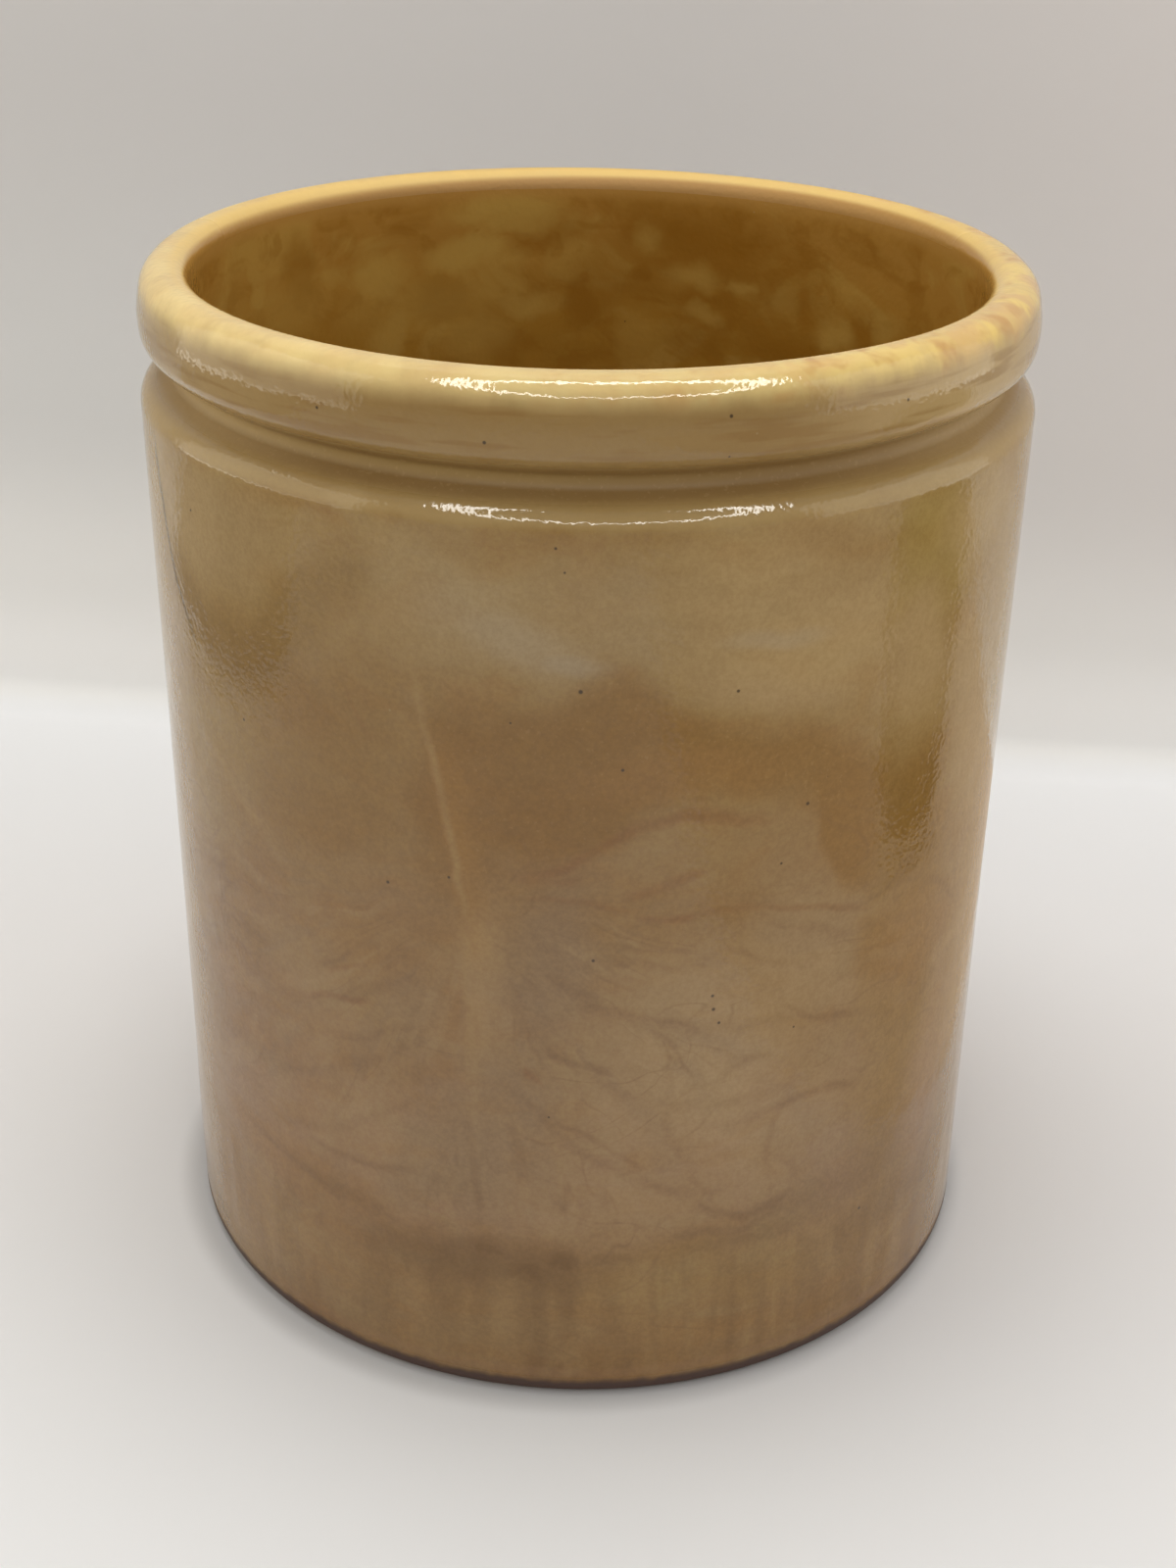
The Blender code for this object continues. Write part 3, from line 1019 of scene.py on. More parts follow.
@dataclass(frozen=True)
class InnerGlaze(HoneyGlaze):
    """Thick honey glaze inside, in soft pale and dark clouds.

    Its seam is at the front, so that no patch is cut at the back.
    """

    name: str = "honey_glaze_inside"
    seam: Seam = Seam.FRONT
    roughness: float = 0.16
    tone: Rgb = (0.400, 0.205, 0.038)
    deep_tone: Rgb = (0.365, 0.186, 0.025)
    pale: Patches = Patches((0.475, 0.295, 0.066), (
        (209, 103.5, 12, 3.2, 0.5, 1.6), (252, 111, 5, 6, 0.25, 1.6), (201, 99.5, 6, 3, 0.6, 1.6),
        (238, 107, 9, 4, 0.45, 1.6), (194.5, 115.4, 8, 2.3, 0.75), (200.6, 109.5, 7, 2.2, 0.85, 1.1, -0.1),
        (217, 107.7, 4, 3, 0.75), (216.3, 101.4, 3.3, 3, 0.75), (245, 109.3, 2.2, 2, 0.75),
        (226.5, 109.3, 2.2, 1.8, 0.5), (191.2, 102.8, 3.2, 2, 0.6), (169.9, 112.2, 2.4, 1.7, 0.55, 1.6),
        (162.7, 106.8, 3.4, 2, 0.6, 1.6), (171.6, 98.6, 4, 3, 0.36), (159, 102, 2.5, 1.3, 0.55),
        (153.5, 106.7, 2, 1, 0.55), (135, 102.9, 3.2, 1.8, 0.65), (144.3, 105.5, 2, 2.4, 0.4),
        (98, 117, 3, 1.2, 0.8), (122, 105, 2.5, 2, 0.4)))
    dark: Patches = Patches((0.272, 0.116, 0.010), (
        (161, 111, 13, 6, 0.75, 1.4), (187, 113, 6, 2.6, 0.5, 1.6), (159, 103, 6, 6, 0.55, 1.6),
        (143, 99, 8, 4, 0.75, 1.6), (128, 101.5, 5, 4, 0.5, 1.6), (146, 107, 8, 6, 0.6, 1.4),
        (176, 106, 9, 4, 0.45, 1.4), (171.5, 107.6, 2, 2, 0.8), (156, 110, 3.2, 1.8, 0.6),
        (181.5, 103.4, 3, 3.4, 0.7), (206.5, 104, 4.2, 2.6, 0.75), (234, 111.3, 3, 3.6, 0.6),
        (150, 101, 3.5, 2, 0.55)))

    def tint(self, surface: Surface) -> Coat:
        """Clouds and patches, a little browner towards the floor and plain just under the lip.

        Args:
            surface: the coordinates to draw it on.

        Returns:
            The colour of the whole inside.
        """
        drawn = surface.place.scaled(1.0, 1.0, 1.4)
        clouds = drawn.noise(14.0, 4.0, 0.55, 0.8)
        small = drawn.noise(6.0, 3.0, 0.6, 0.6)
        coat = Coat(surface.graph, self.tone)
        coat.lay(surface.height.smooth(116.0, 98.0), self.deep_tone)
        coat.lay(clouds.smooth(0.50, 0.66) * 0.60, self.pale.tone)
        coat.lay(clouds.smooth(0.46, 0.34) * 0.40, self.dark.tone)
        coat.lay(small.smooth(0.50, 0.66) * 0.40, self.dark.tone)
        spot = surface.warped(7.0, 4.0, 4.0)
        for patches in (self.dark, self.pale):
            coat.lay(surface.patches(patches, spot), patches.tone)
        coat.lay(surface.height.smooth(116.0, 118.0), self.throat_tone)
        return coat


@dataclass(frozen=True)
class BareClay:
    """Unglazed stoneware on the foot ring, toasted by the kiln and rubbed smooth where it stands."""

    buff: Rgb = (0.50, 0.36, 0.22)
    toasted: Rgb = (0.36, 0.21, 0.11)
    grog: Rgb = (0.20, 0.12, 0.07)
    scorched_and_shade: Rgb = (0.085, 0.045, 0.032)  # round the outer edge, where the glaze ends: toasted clay, darkened as painted contact shade
    roughness: float = 0.80

    def material(self) -> bpy.types.Material:
        """The bare clay as a material.

        Returns:
            The finished material.
        """
        material = bpy.data.materials.new("bare_stoneware")
        graph = Graph(material)
        surface = Surface(graph)
        coat = Coat(graph, self.buff)
        coat.lay(surface.place.noise(14.0, 4.0, 0.6).smooth(0.42, 0.66), self.toasted)
        coat.lay(surface.radius.smooth(46.0, 49.0) * 0.6, self.toasted)
        coat.lay(surface.place.noise(0.7, 2.0, 0.6).smooth(0.62, 0.74) * 0.6, self.grog)
        # Scorched clay round the outer edge, darkened as painted contact shade
        coat.lay(surface.radius.smooth(48.1, 48.7), self.scorched_and_shade)
        rings = graph.vector(surface.radius, 0.0, 0.0).noise(1.3, 2.0)
        grit = surface.place.noise(0.5, 3.0, 0.7)
        sockets = {
            "Base Color": coat.colour,
            "Roughness": surface.place.noise(5.0) * 0.16 + (self.roughness - 0.08),
            "Normal": graph.bump(rings * 0.05 + grit * 0.04),
        }
        graph.close(graph.node("ShaderNodeBsdfPrincipled", {}, sockets))
        return material


@dataclass(frozen=True)
class Corner:
    """A corner of the jar's section: where its two sides would meet, the arc that rounds it in, and the
    spacing of points along the side that leads to it."""

    radius: float
    height: float
    rounding: float = 0.0
    spacing: float = 1.1 * MM


@dataclass
class JarSection:
    """The jar's section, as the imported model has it, with fine arcs."""

    height: float
    body_radius: float
    wall: float = 6.1 * MM
    floor: float = 7.0 * MM
    taper: float = 0.5 * MM
    ring_width: float = 11.5 * MM
    recess_depth: float = 1.0 * MM
    recess_slope: float = 1.5 * MM
    arc_step: float = math.radians(7.5)

    def corners(self) -> list[Corner]:
        """The section's corners, from the axis at the inside floor round to the axis below it.

        Returns:
            The corners, in that order.
        """
        inner = self.body_radius - self.wall
        foot = self.body_radius - self.taper
        ring = foot - self.ring_width
        groove = self.body_radius - 3.75 * MM
        top = self.height
        coarse = 4.0 * MM
        return [
            Corner(0.0, self.floor),
            Corner(inner, self.floor, 6.0 * MM, coarse),
            Corner(inner, top, 2.1 * MM, 3.0 * MM),
            Corner(self.body_radius - 1.05 * MM, top, 2.8 * MM),
            Corner(self.body_radius - 0.25 * MM, top - 4.6 * MM, 8.0 * MM),
            Corner(self.body_radius - 0.50 * MM, top - 7.9 * MM, 3.0 * MM),
            Corner(groove, top - 10.0 * MM, 1.0 * MM),
            Corner(groove, top - 11.3 * MM, 1.0 * MM),
            Corner(self.body_radius, top - 13.1 * MM, 2.5 * MM),
            Corner(foot, 0.0, 1.8 * MM),
            Corner(ring, 0.0, 0.6 * MM, 2.5 * MM),
            Corner(ring - self.recess_slope, self.recess_depth, 0.6 * MM),
            Corner(0.0, self.recess_depth, 0.0, coarse),
        ]

    def arc(self, before: Corner, corner: Corner, after: Corner) -> list[Vector]:
        """The arc that rounds a corner.

        Args:
            before: the corner before it.
            corner: the corner.
            after: the corner after it.

        Returns:
            Points of (radius, height) along the arc.
        """
        here = Vector((corner.radius, corner.height))
        back = Vector((before.radius, before.height)) - here
        ahead = Vector((after.radius, after.height)) - here
        half = back.angle(ahead) / 2
        setback = min(corner.rounding / math.tan(half), back.length / 2, ahead.length / 2)
        radius = setback * math.tan(half)
        middle = (back.normalized() + ahead.normalized()).normalized()
        centre = here + middle * (radius / math.sin(half))
        first = here + back.normalized() * setback - centre
        last = here + ahead.normalized() * setback - centre
        turn = math.pi - 2 * half
        if first.x * last.y - first.y * last.x < 0:
            turn = -turn
        steps = max(2, math.ceil(abs(turn) / self.arc_step))
        start = math.atan2(first.y, first.x)
        angles = [start + turn * step / steps for step in range(steps + 1)]
        return [centre + radius * Vector((math.cos(a), math.sin(a))) for a in angles]

    def points(self) -> np.ndarray:
        """The section's points as rows of (radius, height), with long sides divided.

        Returns:
            The rows, the first and the last of them on the axis.
        """
        corners = self.corners()
        path = [Vector((corners[0].radius, corners[0].height))]
        for index in range(1, len(corners)):
            corner = corners[index]
            if index == len(corners) - 1:
                stretch = [Vector((corner.radius, corner.height))]
            else:
                stretch = self.arc(corners[index - 1], corner, corners[index + 1])
            start = path[-1]
            run = (stretch[0] - start).length
            pieces = max(1, math.ceil(run / corner.spacing))
            path += [start.lerp(stretch[0], step / pieces) for step in range(1, pieces)]
            path += stretch
        return np.array([tuple(point) for point in path])


@dataclass
class HandOfThePotter:
    """How far the thrown and fired jar is from a true turned one. Lengths in metres, bearings in degrees."""

    oval: float = 0.16 * MM
    oval_bearing: float = 60.0
    waist: float = 0.16 * MM
    sway: float = 0.05 * MM
    rim_sway: float = 0.10 * MM
    throwing_rings: float = 0.10 * MM
    ring_pitch: float = 7.5 * MM
    scar_height: float = 0.12 * MM
    scar_width: float = 0.9 * MM
    run_height: float = 0.07 * MM
    run_count: int = 46
    wave_divisor: float = 1.5  # brings a sum of waves to about the amplitude that is asked for
    seed: int = 7

    def waves(self, bearing: np.ndarray, height: np.ndarray, count: int, amplitude: float) -> np.ndarray:
        """A slow wave over the surface: a sum of a few waves round the jar and up it.

        Args:
            bearing: in radians.
            height: in metres.
            count: how many waves are added.
            amplitude: of the sum, in metres.

        Returns:
            The wave at each point, in metres.
        """
        draw = np.random.default_rng(self.seed)
        total = np.zeros_like(bearing)
        for turns in range(1, count + 1):
            rise, phase = draw.uniform(-40.0, 40.0), draw.uniform(0.0, 2.0 * math.pi)
            total += np.sin((turns + 1) * bearing + rise * height + phase) / turns
        return amplitude * total / self.wave_divisor

    def outward(self, bearing: np.ndarray, height: np.ndarray, radius: np.ndarray, top: float) -> np.ndarray:
        """How far each point lies outside the true turned shape.

        Args:
            bearing: in radians.
            height: in metres.
            radius: in metres.
            top: the jar's height.

        Returns:
            The distance for each point, in metres.
        """
        away = self.oval * np.cos(2.0 * (bearing - math.radians(self.oval_bearing)))
        away += self.waves(bearing, height, 5, self.sway)
        share = np.clip(height / top, 0.0, 1.0)
        away -= self.waist * np.sin(np.pi * share) ** 2
        inside = (radius < 45.0 * MM) & (height > 14.0 * MM) & (height < top - 4.0 * MM)
        rings = np.sin(2.0 * np.pi * height / self.ring_pitch + bearing)
        away += np.where(inside, self.throwing_rings * rings, 0.0)
        outside = (radius > 48.5 * MM) & (height > 2.5 * MM) & (height < top - 14.0 * MM)
        away += np.where(outside, self.scar(bearing, height) + self.runs(bearing, height), 0.0)
        return away

    def scar(self, bearing: np.ndarray, height: np.ndarray) -> np.ndarray:
        """The raised scar on the front of the wall, in metres.

        Args:
            bearing: in radians.
            height: in metres.

        Returns:
            How far it stands out at each point.
        """
        heights, bearings = zip(*((h, b) for b, h in OuterGlaze.scar.points))
        line = np.interp(height / MM, heights, bearings)
        gap = (np.degrees(bearing) - line) * Surface.MM_A_DEGREE * MM
        low, high = heights[0], heights[-1]
        ends = np.clip((height / MM - low) / 12.0, 0, 1) * np.clip((high - height / MM) / 4.0, 0, 1)
        return self.scar_height * np.exp(-((gap / self.scar_width) ** 2)) * ends

    def runs(self, bearing: np.ndarray, height: np.ndarray) -> np.ndarray:
        """Thick runs of glaze that stop above the foot, in metres.

        Args:
            bearing: in radians.
            height: in metres.

        Returns:
            How far they stand out at each point.
        """
        draw = np.random.default_rng(self.seed + 1)
        total = np.zeros_like(bearing)
        for _ in range(self.run_count):
            middle = draw.uniform(-math.pi, math.pi)
            width = draw.uniform(0.8, 2.0) / Surface.WALL_RADIUS_MM
            end, start = draw.uniform(2.5, 7.0) * MM, draw.uniform(14.0, 26.0) * MM
            gap = (bearing - middle + math.pi) % (2.0 * math.pi) - math.pi
            rise = np.clip((height - end) / (3.0 * MM), 0, 1) * np.clip((start - height) / (8.0 * MM), 0, 1)
            total = np.maximum(total, np.exp(-((gap / width) ** 2)) * rise)
        return self.run_height * total

    def upward(self, bearing: np.ndarray, height: np.ndarray, top: float) -> np.ndarray:
        """How far each point of the rim lies above or below the true one, in metres."""
        near_rim = np.clip((height - (top - 14.0 * MM)) / (10.0 * MM), 0.0, 1.0)
        return near_rim * self.waves(bearing, np.zeros_like(height), 4, self.rim_sway)


class Zone(Enum):
    """The parts of the surface that differ in finish, by the number of the material slot."""

    OUTSIDE = 0
    INSIDE = 1
    FOOT_RING = 2


@dataclass
class JarBody:
    """The jar: one thrown and glazed piece of stoneware."""

    name: str = "jar_body_glazed"
    segments: int = 384
    firm_radius: float = 40.0 * MM  # the potter's hand moves a point less inside this radius
    # The glaze inside lies within a radius, above a height and this far below the top
    inside_radius: float = 45.5 * MM
    inside_foot: float = 4.0 * MM
    inside_depth: float = 2.2 * MM
    # The bare clay lies below a height, and reaches this far in from the ring
    bare_height: float = 1.3 * MM
    bare_margin: float = 0.6 * MM
    section: JarSection = field(init=False)
    hand: HandOfThePotter = field(default_factory=HandOfThePotter)
    outer: OuterGlaze = OuterGlaze()
    inner: InnerGlaze = InnerGlaze()
    clay: BareClay = BareClay()

    def __post_init__(self) -> None:
        """Takes the section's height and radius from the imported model."""
        low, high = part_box(NODE)
        edge = 0.009 * MM  # the rounded shoulder stands this far inside the radius that is rounded
        self.section = JarSection(high[2] - low[2], (high[0] - low[0]) / 2 + edge)

    def build(self) -> bpy.types.Object:
        """Makes the piece, with its shape, its map and its finishes.

        Returns:
            The piece.
        """
        points = self.section.points()
        mesh = bpy.data.meshes.new(self.name)
        faces, spots = self._faces(points)
        mesh.from_pydata(self._vertices(points).tolist(), [], faces)
        mesh.update()
        mesh.uv_layers.new(name="OFBake").uv.foreach_set("vector", np.array(spots).ravel())
        finishes = {Zone.OUTSIDE: self.outer, Zone.INSIDE: self.inner, Zone.FOOT_RING: self.clay}
        for zone in Zone:
            mesh.materials.append(finishes[zone].material())
        self._dress(mesh)
        mesh.shade_smooth()
        piece = bpy.data.objects.new(self.name, mesh)
        bpy.context.scene.collection.objects.link(piece)
        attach(piece, BODY)
        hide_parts(NODE)
        return piece

    def _vertices(self, points: np.ndarray) -> np.ndarray:
        """Turns the section round the axis and lets the potter's hand move its points.

        Args:
            points: rows of (radius, height), whose first and last lie on the axis.

        Returns:
            A row for each vertex: ring after ring, and then the two on the axis.
        """
        turn = np.linspace(-math.pi, math.pi, self.segments, endpoint=False)
        radius, bearing = np.meshgrid(points[1:-1, 0], turn, indexing="ij")
        height = np.repeat(points[1:-1, 1:2], self.segments, axis=1)
        top = self.section.height
        share = np.clip(radius / self.firm_radius, 0, 1)
        moved = radius + self.hand.outward(bearing, height, radius, top) * share
        raised = height + self.hand.upward(bearing, height, top)
        cloud = np.stack((moved * np.sin(bearing), -moved * np.cos(bearing), raised), axis=-1)
        poles = np.array([(0.0, 0.0, points[0, 1]), (0.0, 0.0, points[-1, 1])])
        return np.concatenate((cloud.reshape(-1, 3), poles))

    def _faces(self, points: np.ndarray) -> tuple[list[list[int]], list[Point]]:
        """Joins the vertices, and unrolls the faces: round the jar from left to right, the section upwards.

        Args:
            points: rows of (radius, height), whose first and last lie on the axis.

        Returns:
            Each face's vertex numbers, and the place on the map of each of those.
        """
        runs = np.hypot(*np.diff(points, axis=0).T)
        along = (np.concatenate(([0.0], np.cumsum(runs))) / runs.sum()).tolist()
        count, rings = self.segments, len(points) - 2
        first_pole, last_pole = rings * count, rings * count + 1
        faces: list[list[int]] = []
        spots: list[Point] = []
        for step in range(count):
            after = (step + 1) % count
            left, middle, right = step / count, (step + 0.5) / count, (step + 1) / count
            faces.append([first_pole, step, after])
            spots += [(middle, 0.0), (left, along[1]), (right, along[1])]
            for row in range(rings - 1):
                here, beyond = row * count, (row + 1) * count
                faces.append([here + step, beyond + step, beyond + after, here + after])
                near, far = along[row + 1], along[row + 2]
                spots += [(left, near), (left, far), (right, far), (right, near)]
            last = (rings - 1) * count
            faces.append([last + step, last_pole, last + after])
            spots += [(left, along[-2]), (middle, 1.0), (right, along[-2])]
        return faces, spots

    def _dress(self, mesh: bpy.types.Mesh) -> None:
        """Gives each face its zone: the foot ring and its outer edge stay bare, and the rest is glazed.

        Args:
            mesh: the jar's mesh, in metres.
        """
        centres = np.zeros(len(mesh.polygons) * 3)
        mesh.polygons.foreach_get("center", centres)
        x, y, height = centres.reshape(-1, 3).T
        radius = np.hypot(x, y)
        ring = self.section.body_radius - self.section.taper - self.section.ring_width
        zones = np.full(len(height), Zone.OUTSIDE.value, dtype=np.int32)
        inside = (radius < self.inside_radius) & (height > self.inside_foot)
        zones[inside & (height < self.section.height - self.inside_depth)] = Zone.INSIDE.value
        zones[(height < self.bare_height) & (radius > ring - self.bare_margin)] = Zone.FOOT_RING.value
        mesh.polygons.foreach_set("material_index", zones)


@dataclass(frozen=True)
class Viewpoint:
    """The camera: its place, where it looks, and its lens."""

    place: tuple[float, float, float] = (0.0, -0.24073, 0.17665)
    yaw: float = 0.003
    down: float = 0.471
    roll: float = 0.015
    lens_mm: float = 49.93
    sensor_mm: float = 36.0

    def build(self) -> bpy.types.Object:
        """Makes the camera and hands it to the scene.

        Returns:
            The camera.
        """
        level = math.cos(self.down)
        ahead = Vector((math.sin(self.yaw) * level, math.cos(self.yaw) * level, -math.sin(self.down)))
        flat_right = Vector((math.cos(self.yaw), -math.sin(self.yaw), 0.0))
        flat_up = flat_right.cross(ahead)
        right = math.cos(self.roll) * flat_right + math.sin(self.roll) * flat_up
        up = math.cos(self.roll) * flat_up - math.sin(self.roll) * flat_right
        data = bpy.data.cameras.new("viewpoint")
        data.lens = self.lens_mm
        data.sensor_width = self.sensor_mm
        data.clip_start = 0.01
        camera = bpy.data.objects.new("viewpoint", data)
        turn = Matrix((right, up, -ahead)).transposed().to_4x4()
        camera.matrix_world = Matrix.Translation(self.place) @ turn
        bpy.context.scene.collection.objects.link(camera)
        bpy.context.scene.camera = camera
        return camera


class SeenBy(Enum):
    """Which rays a stage object is made for."""

    EVERYTHING = "camera, light and reflections"
    LIGHT_AND_REFLECTIONS = "light and reflections"
    LIGHT = "light alone"
    REFLECTIONS = "reflections alone"


def set_stage(
    name: str, mesh: bpy.types.Mesh, material: bpy.types.Material, seen: SeenBy
) -> bpy.types.Object:
    """Puts a mesh on the stage.

    Args:
        name: the object's name.
        mesh: its mesh.
        material: its finish.
        seen: the rays that it is there for.

    Returns:
        The object.
    """
    mesh.materials.append(material)
    thing = bpy.data.objects.new(name, mesh)
    bpy.context.scene.collection.objects.link(thing)
    thing.visible_camera = seen is SeenBy.EVERYTHING
    thing.visible_glossy = seen is not SeenBy.LIGHT
    if seen is SeenBy.REFLECTIONS:
        thing.visible_diffuse = False
        thing.visible_shadow = False
        thing.visible_transmission = False
    return thing


@dataclass(frozen=True)
class PaperFinish:
    """White background paper with painted shade: a little darker towards the front and towards the top of
    the backdrop, and a painted contact shadow round the jar's foot.

    Its back lets the view through, so that the jar shows from behind too.
    """

    # Colour over the distance in front of the fold, and over the height of the backdrop, with the light's
    # fall-off painted in: (metres, colour)
    floor_tones: Tones = (
        (0.0, (0.84, 0.85, 0.87)), (0.10, (0.79, 0.785, 0.79)), (0.21, (0.85, 0.855, 0.865)),
        (0.6, (0.87, 0.87, 0.87)))
    wall_tones: Tones = (
        (0.0, (0.90, 0.90, 0.89)), (0.012, (0.92, 0.91, 0.895)), (0.027, (0.85, 0.84, 0.82)),
        (0.06, (0.70, 0.695, 0.685)), (0.12, (0.625, 0.608, 0.60)), (0.4, (0.54, 0.525, 0.53)))
    # painted warm light on the right of the backdrop
    painted_warm_light: Rgb = (0.75, 0.70, 0.675)
    painted_contact_shadow: Rgb = (0.30, 0.275, 0.255)  # painted contact shadow on the paper, close to the foot
    shade_reach: tuple[float, float] = (0.0528, 0.0492)  # the painted shadow's outer and inner distance from the jar's axis

    def material(self, axis: Point) -> bpy.types.Material:
        """The paper as a material, for a jar whose axis meets it at a given point.

        Args:
            axis: the point, seen from the middle of the fold.

        Returns:
            The finished material.
        """
        material = bpy.data.materials.new("white_paper")
        graph = Graph(material)
        place = graph.node("ShaderNodeTexCoord", {}, {}, "Object")
        x, y, z = place.parts()
        wall = Coat(graph, z.tones(self.wall_tones))
        # Painted warm light towards the right of the backdrop, above the fold
        wall.lay(x.smooth(0.0, 0.16) * z.smooth(0.015, 0.06, 0.8), self.painted_warm_light)
        coat = Coat(graph, (-y).tones(self.floor_tones))
        coat.lay(z.smooth(0.0, 0.004), wall.colour)
        away = place.vector_math("DISTANCE", (*axis, 0.0))
        # Painted contact shadow on the paper round the jar's foot
        coat.lay(away.smooth(*self.shade_reach) * 0.38, self.painted_contact_shadow)
        paper = graph.node("ShaderNodeBsdfDiffuse", {}, {"Color": coat.colour})
        clear = graph.node("ShaderNodeBsdfTransparent")
        back = graph.node("ShaderNodeNewGeometry", {}, {}, "Backfacing")
        graph.close(graph.node("ShaderNodeMixShader", {}, {0: back, 1: paper, 2: clear}))
        return material


@dataclass(frozen=True)
class Sweep:
    """A sheet of paper that lies under the jar and is folded up behind it."""

    fold_distance: float = 0.125
    fold_turn: float = math.radians(-6.3)
    fold_radius: float = 0.006
    width: float = 1.6
    front: float = 1.2
    rise: float = 1.1
    table_drop: float = 0.6 * MM
    shade_shift: Point = (-0.8 * MM, -0.4 * MM)  # from the jar's axis to the middle of the painted contact shadow at its foot
    finish: PaperFinish = PaperFinish()

    def build(self) -> None:
        """Makes the sweep, and a table under it for the views from behind."""
        bend = [math.radians(angle) for angle in range(0, 91, 6)]
        size = self.fold_radius
        arc = [(size * (math.sin(a) - 1.0), size * (1.0 - math.cos(a))) for a in bend]
        turn, near = self.fold_turn, self.fold_distance
        east, north = self.shade_shift
        material = self.finish.material((east - near * math.sin(turn), north - near * math.cos(turn)))
        self._sheet("paper_sweep", [(-self.front, 0.0), *arc, (0.0, self.rise)], material)
        self._sheet("table", [(-self.front, -self.table_drop), (self.front, -self.table_drop)], material)

    def _sheet(self, name: str, side: list[Point], material: bpy.types.Material) -> None:
        """A sheet as wide as the sweep, whose side view is a chain of (distance behind the fold, height).

        Args:
            name: its name.
            side: the chain.
            material: its finish.
        """
        half = self.width / 2
        vertices = [(x, y, z) for y, z in side for x in (-half, half)]
        faces = [(2 * i, 2 * i + 1, 2 * i + 3, 2 * i + 2) for i in range(len(side) - 1)]
        mesh = bpy.data.meshes.new(name)
        mesh.from_pydata(vertices, [], faces)
        mesh.shade_smooth()
        sheet = set_stage(name, mesh, material, SeenBy.EVERYTHING)
        sheet.location = (0.0, self.fold_distance, 0.0)
        sheet.rotation_euler = (0.0, 0.0, self.fold_turn)


@dataclass(frozen=True)
class Glow:
    """An even light from a lamp's face or a card."""

    colour: Rgb
    strength: float

    def material(self, name: str) -> bpy.types.Material:
        """The light as a material.

        Args:
            name: the material's name.

        Returns:
            The finished material.
        """
        material = bpy.data.materials.new(name)
        graph = Graph(material)
        sockets = {"Color": (*self.colour, 1.0), "Strength": self.strength}
        graph.close(graph.node("ShaderNodeEmission", {}, sockets))
        return material


def set_panel(name: str, corners: list[tuple[float, float, float]], glow: Glow, seen: SeenBy) -> None:
    """Puts a flat glowing panel or dark card on the stage, given by its corners.

    Args:
        name: its name.
        corners: in metres, in order round it.
        glow: its light.
        seen: the rays that it is there for.
    """
    mesh = bpy.data.meshes.new(name)
    mesh.from_pydata(corners, [], [tuple(range(len(corners)))])
    set_stage(name, mesh, glow.material(name), seen)


@dataclass(frozen=True)
class DiscLamp:
    """A round soft lamp that lights surfaces and doesn't show in the glaze."""

    name: str
    place: tuple[float, float, float]
    aim: tuple[float, float, float]
    radius: float
    glow: Glow
    sides: int = 48

    def build(self) -> None:
        """Makes the lamp."""
        centre = Vector(self.place)
        side = (Vector(self.aim) - centre).orthogonal().normalized()
        over = (Vector(self.aim) - centre).normalized().cross(side)
        angles = [2.0 * math.pi * step / self.sides for step in range(self.sides)]
        rim = [centre + self.radius * (math.cos(a) * side + math.sin(a) * over) for a in angles]
        set_panel(self.name, [tuple(point) for point in rim], self.glow, SeenBy.LIGHT)


@dataclass(frozen=True)
class RingLamp:
    """A ring lamp above the camera's side, whose loop shows in the glaze of the rim and the shoulder."""

    aim: tuple[float, float, float] = (0.024, -0.049, 0.118)
    elevation: float = math.radians(62.0)
    distance: float = 0.27
    radius: float = 0.158
    band: float = 0.036
    lean: float = 0.40  # how much wider the band is at the back, and narrower at the front
    sides: int = 96
    glow: Glow = Glow((1.0, 0.985, 0.93), 15.0)

    def build(self) -> None:
        """Makes the lamp."""
        towards = Vector((0.0, -math.cos(self.elevation), math.sin(self.elevation)))
        centre = Vector(self.aim) + towards * self.distance
        side = Vector((1.0, 0.0, 0.0))
        over = towards.cross(side)
        vertices, faces = [], []
        for step in range(self.sides):
            angle = 2.0 * math.pi * step / self.sides
            spoke = math.cos(angle) * side + math.sin(angle) * over
            half = self.band / 2 * (1.0 + self.lean * math.sin(angle))
            vertices += [centre + spoke * (self.radius + edge * half) for edge in (-1, 1)]
            after = (step + 1) % self.sides
            faces.append((2 * step, 2 * step + 1, 2 * after + 1, 2 * after))
        mesh = bpy.data.meshes.new("ring_lamp")
        mesh.from_pydata(vertices, [], faces)
        set_stage("ring_lamp", mesh, self.glow.material("ring_lamp"), SeenBy.REFLECTIONS)


@dataclass(frozen=True)
class SideWindow:
    """A bright pane beside the jar, with brighter edges above and below, for long streaks in the glaze."""

    name: str
    x: float
    strength: float
    edge_gain: float
    colour: Rgb = (1.0, 0.95, 0.86)
    front: float = -0.22
    back: float = 0.12
    foot: float = 0.07
    top: float = 0.36
    edge: float = 0.012

    def build(self) -> None:
        """Makes the pane and its two edges."""
        self._strip("pane", self.foot, self.top, self.strength, SeenBy.LIGHT_AND_REFLECTIONS)
        bright = self.strength * self.edge_gain
        self._strip("upper_edge", self.top, self.top + self.edge, bright, SeenBy.REFLECTIONS)
        self._strip("lower_edge", self.foot - self.edge, self.foot, bright, SeenBy.REFLECTIONS)

    def _strip(self, part: str, low: float, high: float, strength: float, seen: SeenBy) -> None:
        """One upright strip of the window between two heights.

        Args:
            part: the strip's name.
            low: the lower height.
            high: the upper height.
            strength: of its light.
            seen: the rays that it is there for.
        """
        sides = ((self.front, low), (self.back, low), (self.back, high), (self.front, high))
        corners = [(self.x, *side) for side in sides]
        set_panel(f"{self.name}_{part}", corners, Glow(self.colour, strength), seen)


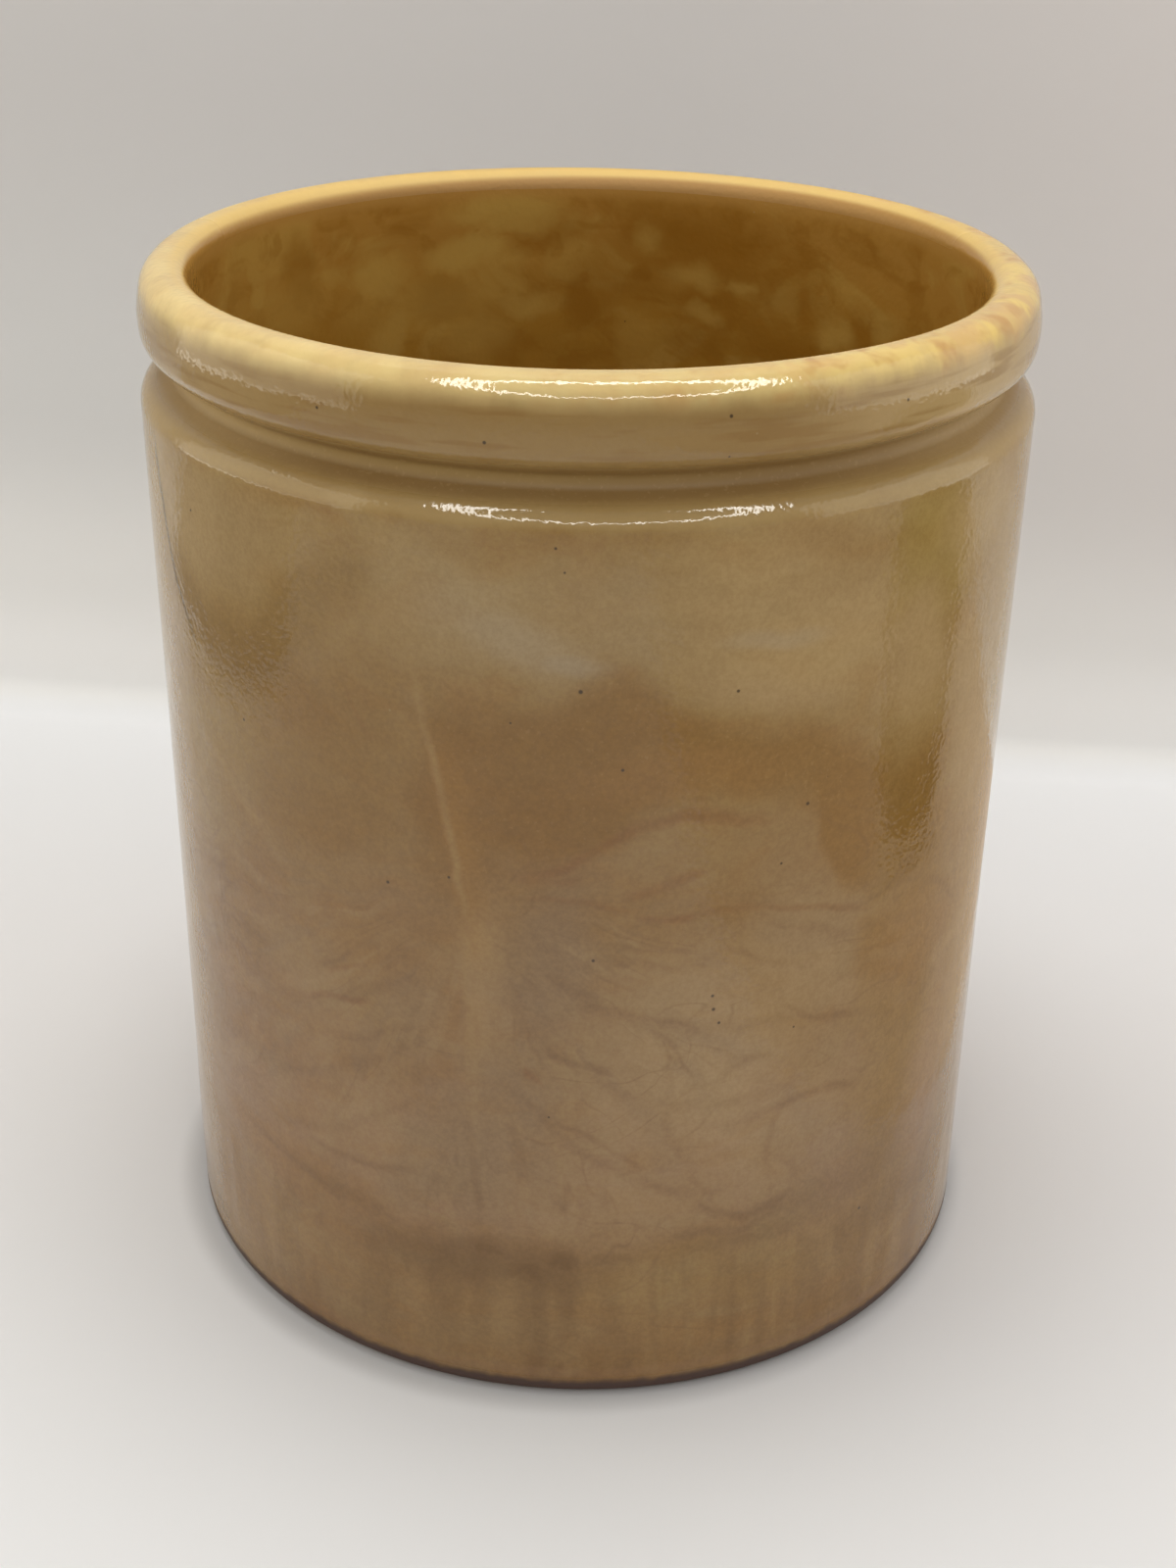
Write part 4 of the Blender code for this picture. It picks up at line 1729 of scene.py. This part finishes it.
@dataclass(frozen=True)
class Surroundings:
    """What the glaze mirrors beside the jar: a dark thing on a warm table at the right, and the paper's left
    edge with the duller table beyond it."""

    paper_edge: tuple[Point, ...] = ((-0.223, -0.057), (-0.217, 0.000), (-0.206, 0.110), (-0.234, 0.235))
    edge_width: float = 0.004
    beyond: tuple[Point, ...] = ((-0.80, 0.40), (-0.80, -0.40))
    dark_outline: tuple[Point, ...] = (
        (0.152, -0.018), (0.159, -0.046), (0.180, -0.053), (0.240, -0.063), (0.500, -0.095),
        (0.500, 0.165), (0.244, 0.049), (0.185, 0.022), (0.160, 0.005))
    table_outline: tuple[Point, ...] = ((0.075, -0.40), (0.80, -0.40), (0.80, 0.12), (0.075, 0.12))
    lower: float = 0.4 * MM
    upper: float = 0.6 * MM  # the height of what lies on something else
    dark: Glow = Glow((0.06, 0.045, 0.03), 1.0)
    warm: Glow = Glow((0.68, 0.57, 0.47), 1.0)
    dull: Glow = Glow((0.42, 0.37, 0.30), 1.0)

    def build(self) -> None:
        """Makes the cards, each a little above the one that it lies on."""
        strip = tuple((x - self.edge_width, y) for x, y in reversed(self.paper_edge))
        for name, outline, lift, glow in (
            ("left_table", self.paper_edge + self.beyond, self.lower, self.dull),
            # the paper_edge strip is a dark card that stands in for the shadow along the paper's left edge
            ("paper_edge", self.paper_edge + strip, self.upper, self.dark),
            ("right_table", self.table_outline, self.lower, self.warm),
            ("right_card", self.dark_outline, self.upper, self.dark),
        ):
            set_panel(name, [(x, y, lift) for x, y in outline], glow, SeenBy.REFLECTIONS)


@dataclass(frozen=True)
class RoomLight:
    """The soft light of the room: one level for surfaces, another for what the eye and reflections see."""

    fill: Rgb = (0.475, 0.475, 0.475)
    seen: Rgb = (0.78, 0.77, 0.75)
    mirrored: Rgb = (0.30, 0.29, 0.28)

    def build(self) -> None:
        """Makes the world."""
        world = bpy.data.worlds.new("room")
        bpy.context.scene.world = world
        graph = Graph(world)
        eye = graph.node("ShaderNodeLightPath", {}, {}, "Is Camera Ray")
        rays = eye.socket.node.outputs
        glossy, clear = Value(graph, rays["Is Glossy Ray"]), Value(graph, rays["Is Transmission Ray"])
        coat = Coat(graph, self.fill)
        coat.lay(glossy.at_least(clear), self.mirrored)
        coat.lay(eye, self.seen)
        shine = graph.node("ShaderNodeBackground", {}, {"Color": coat.colour, "Strength": 1.0})
        graph.node("ShaderNodeOutputWorld", {}, {"Surface": shine})


def light_stage() -> None:
    """Makes every lamp, window, card and the room's own light."""
    RoomLight().build()
    RingLamp().build()
    overhead, front = Glow((1.0, 0.985, 0.96), 5.7), Glow((1.0, 0.98, 0.95), 2.4)
    DiscLamp("overhead_lamp", (-0.015, 0.06, 0.50), (0.0, 0.0, 0.0), 0.15, overhead).build()
    DiscLamp("front_lamp", (0.0, -0.30, 0.32), (0.0, 0.0, 0.06), 0.10, front).build()
    SideWindow("left_window", -0.30, 1.25, 2.2, (1.0, 0.95, 0.82)).build()
    SideWindow("right_window", 0.30, 1.3, 1.5).build()
    Surroundings().build()


def main() -> None:
    """Builds the stage and the jar, and reports each."""
    logging.basicConfig(level=logging.INFO, format="%(name)s: %(message)s")
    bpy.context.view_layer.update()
    bpy.context.scene.view_settings.view_transform = "Standard"
    Viewpoint().build()
    Sweep().build()
    light_stage()
    log.info("stage: paper sweep, lamps, windows, cards and room light")
    piece = JarBody().build()
    log.info("%s: %d faces, rides on %s", piece.name, len(piece.data.polygons), BODY)


if __name__ == "__main__":
    main()
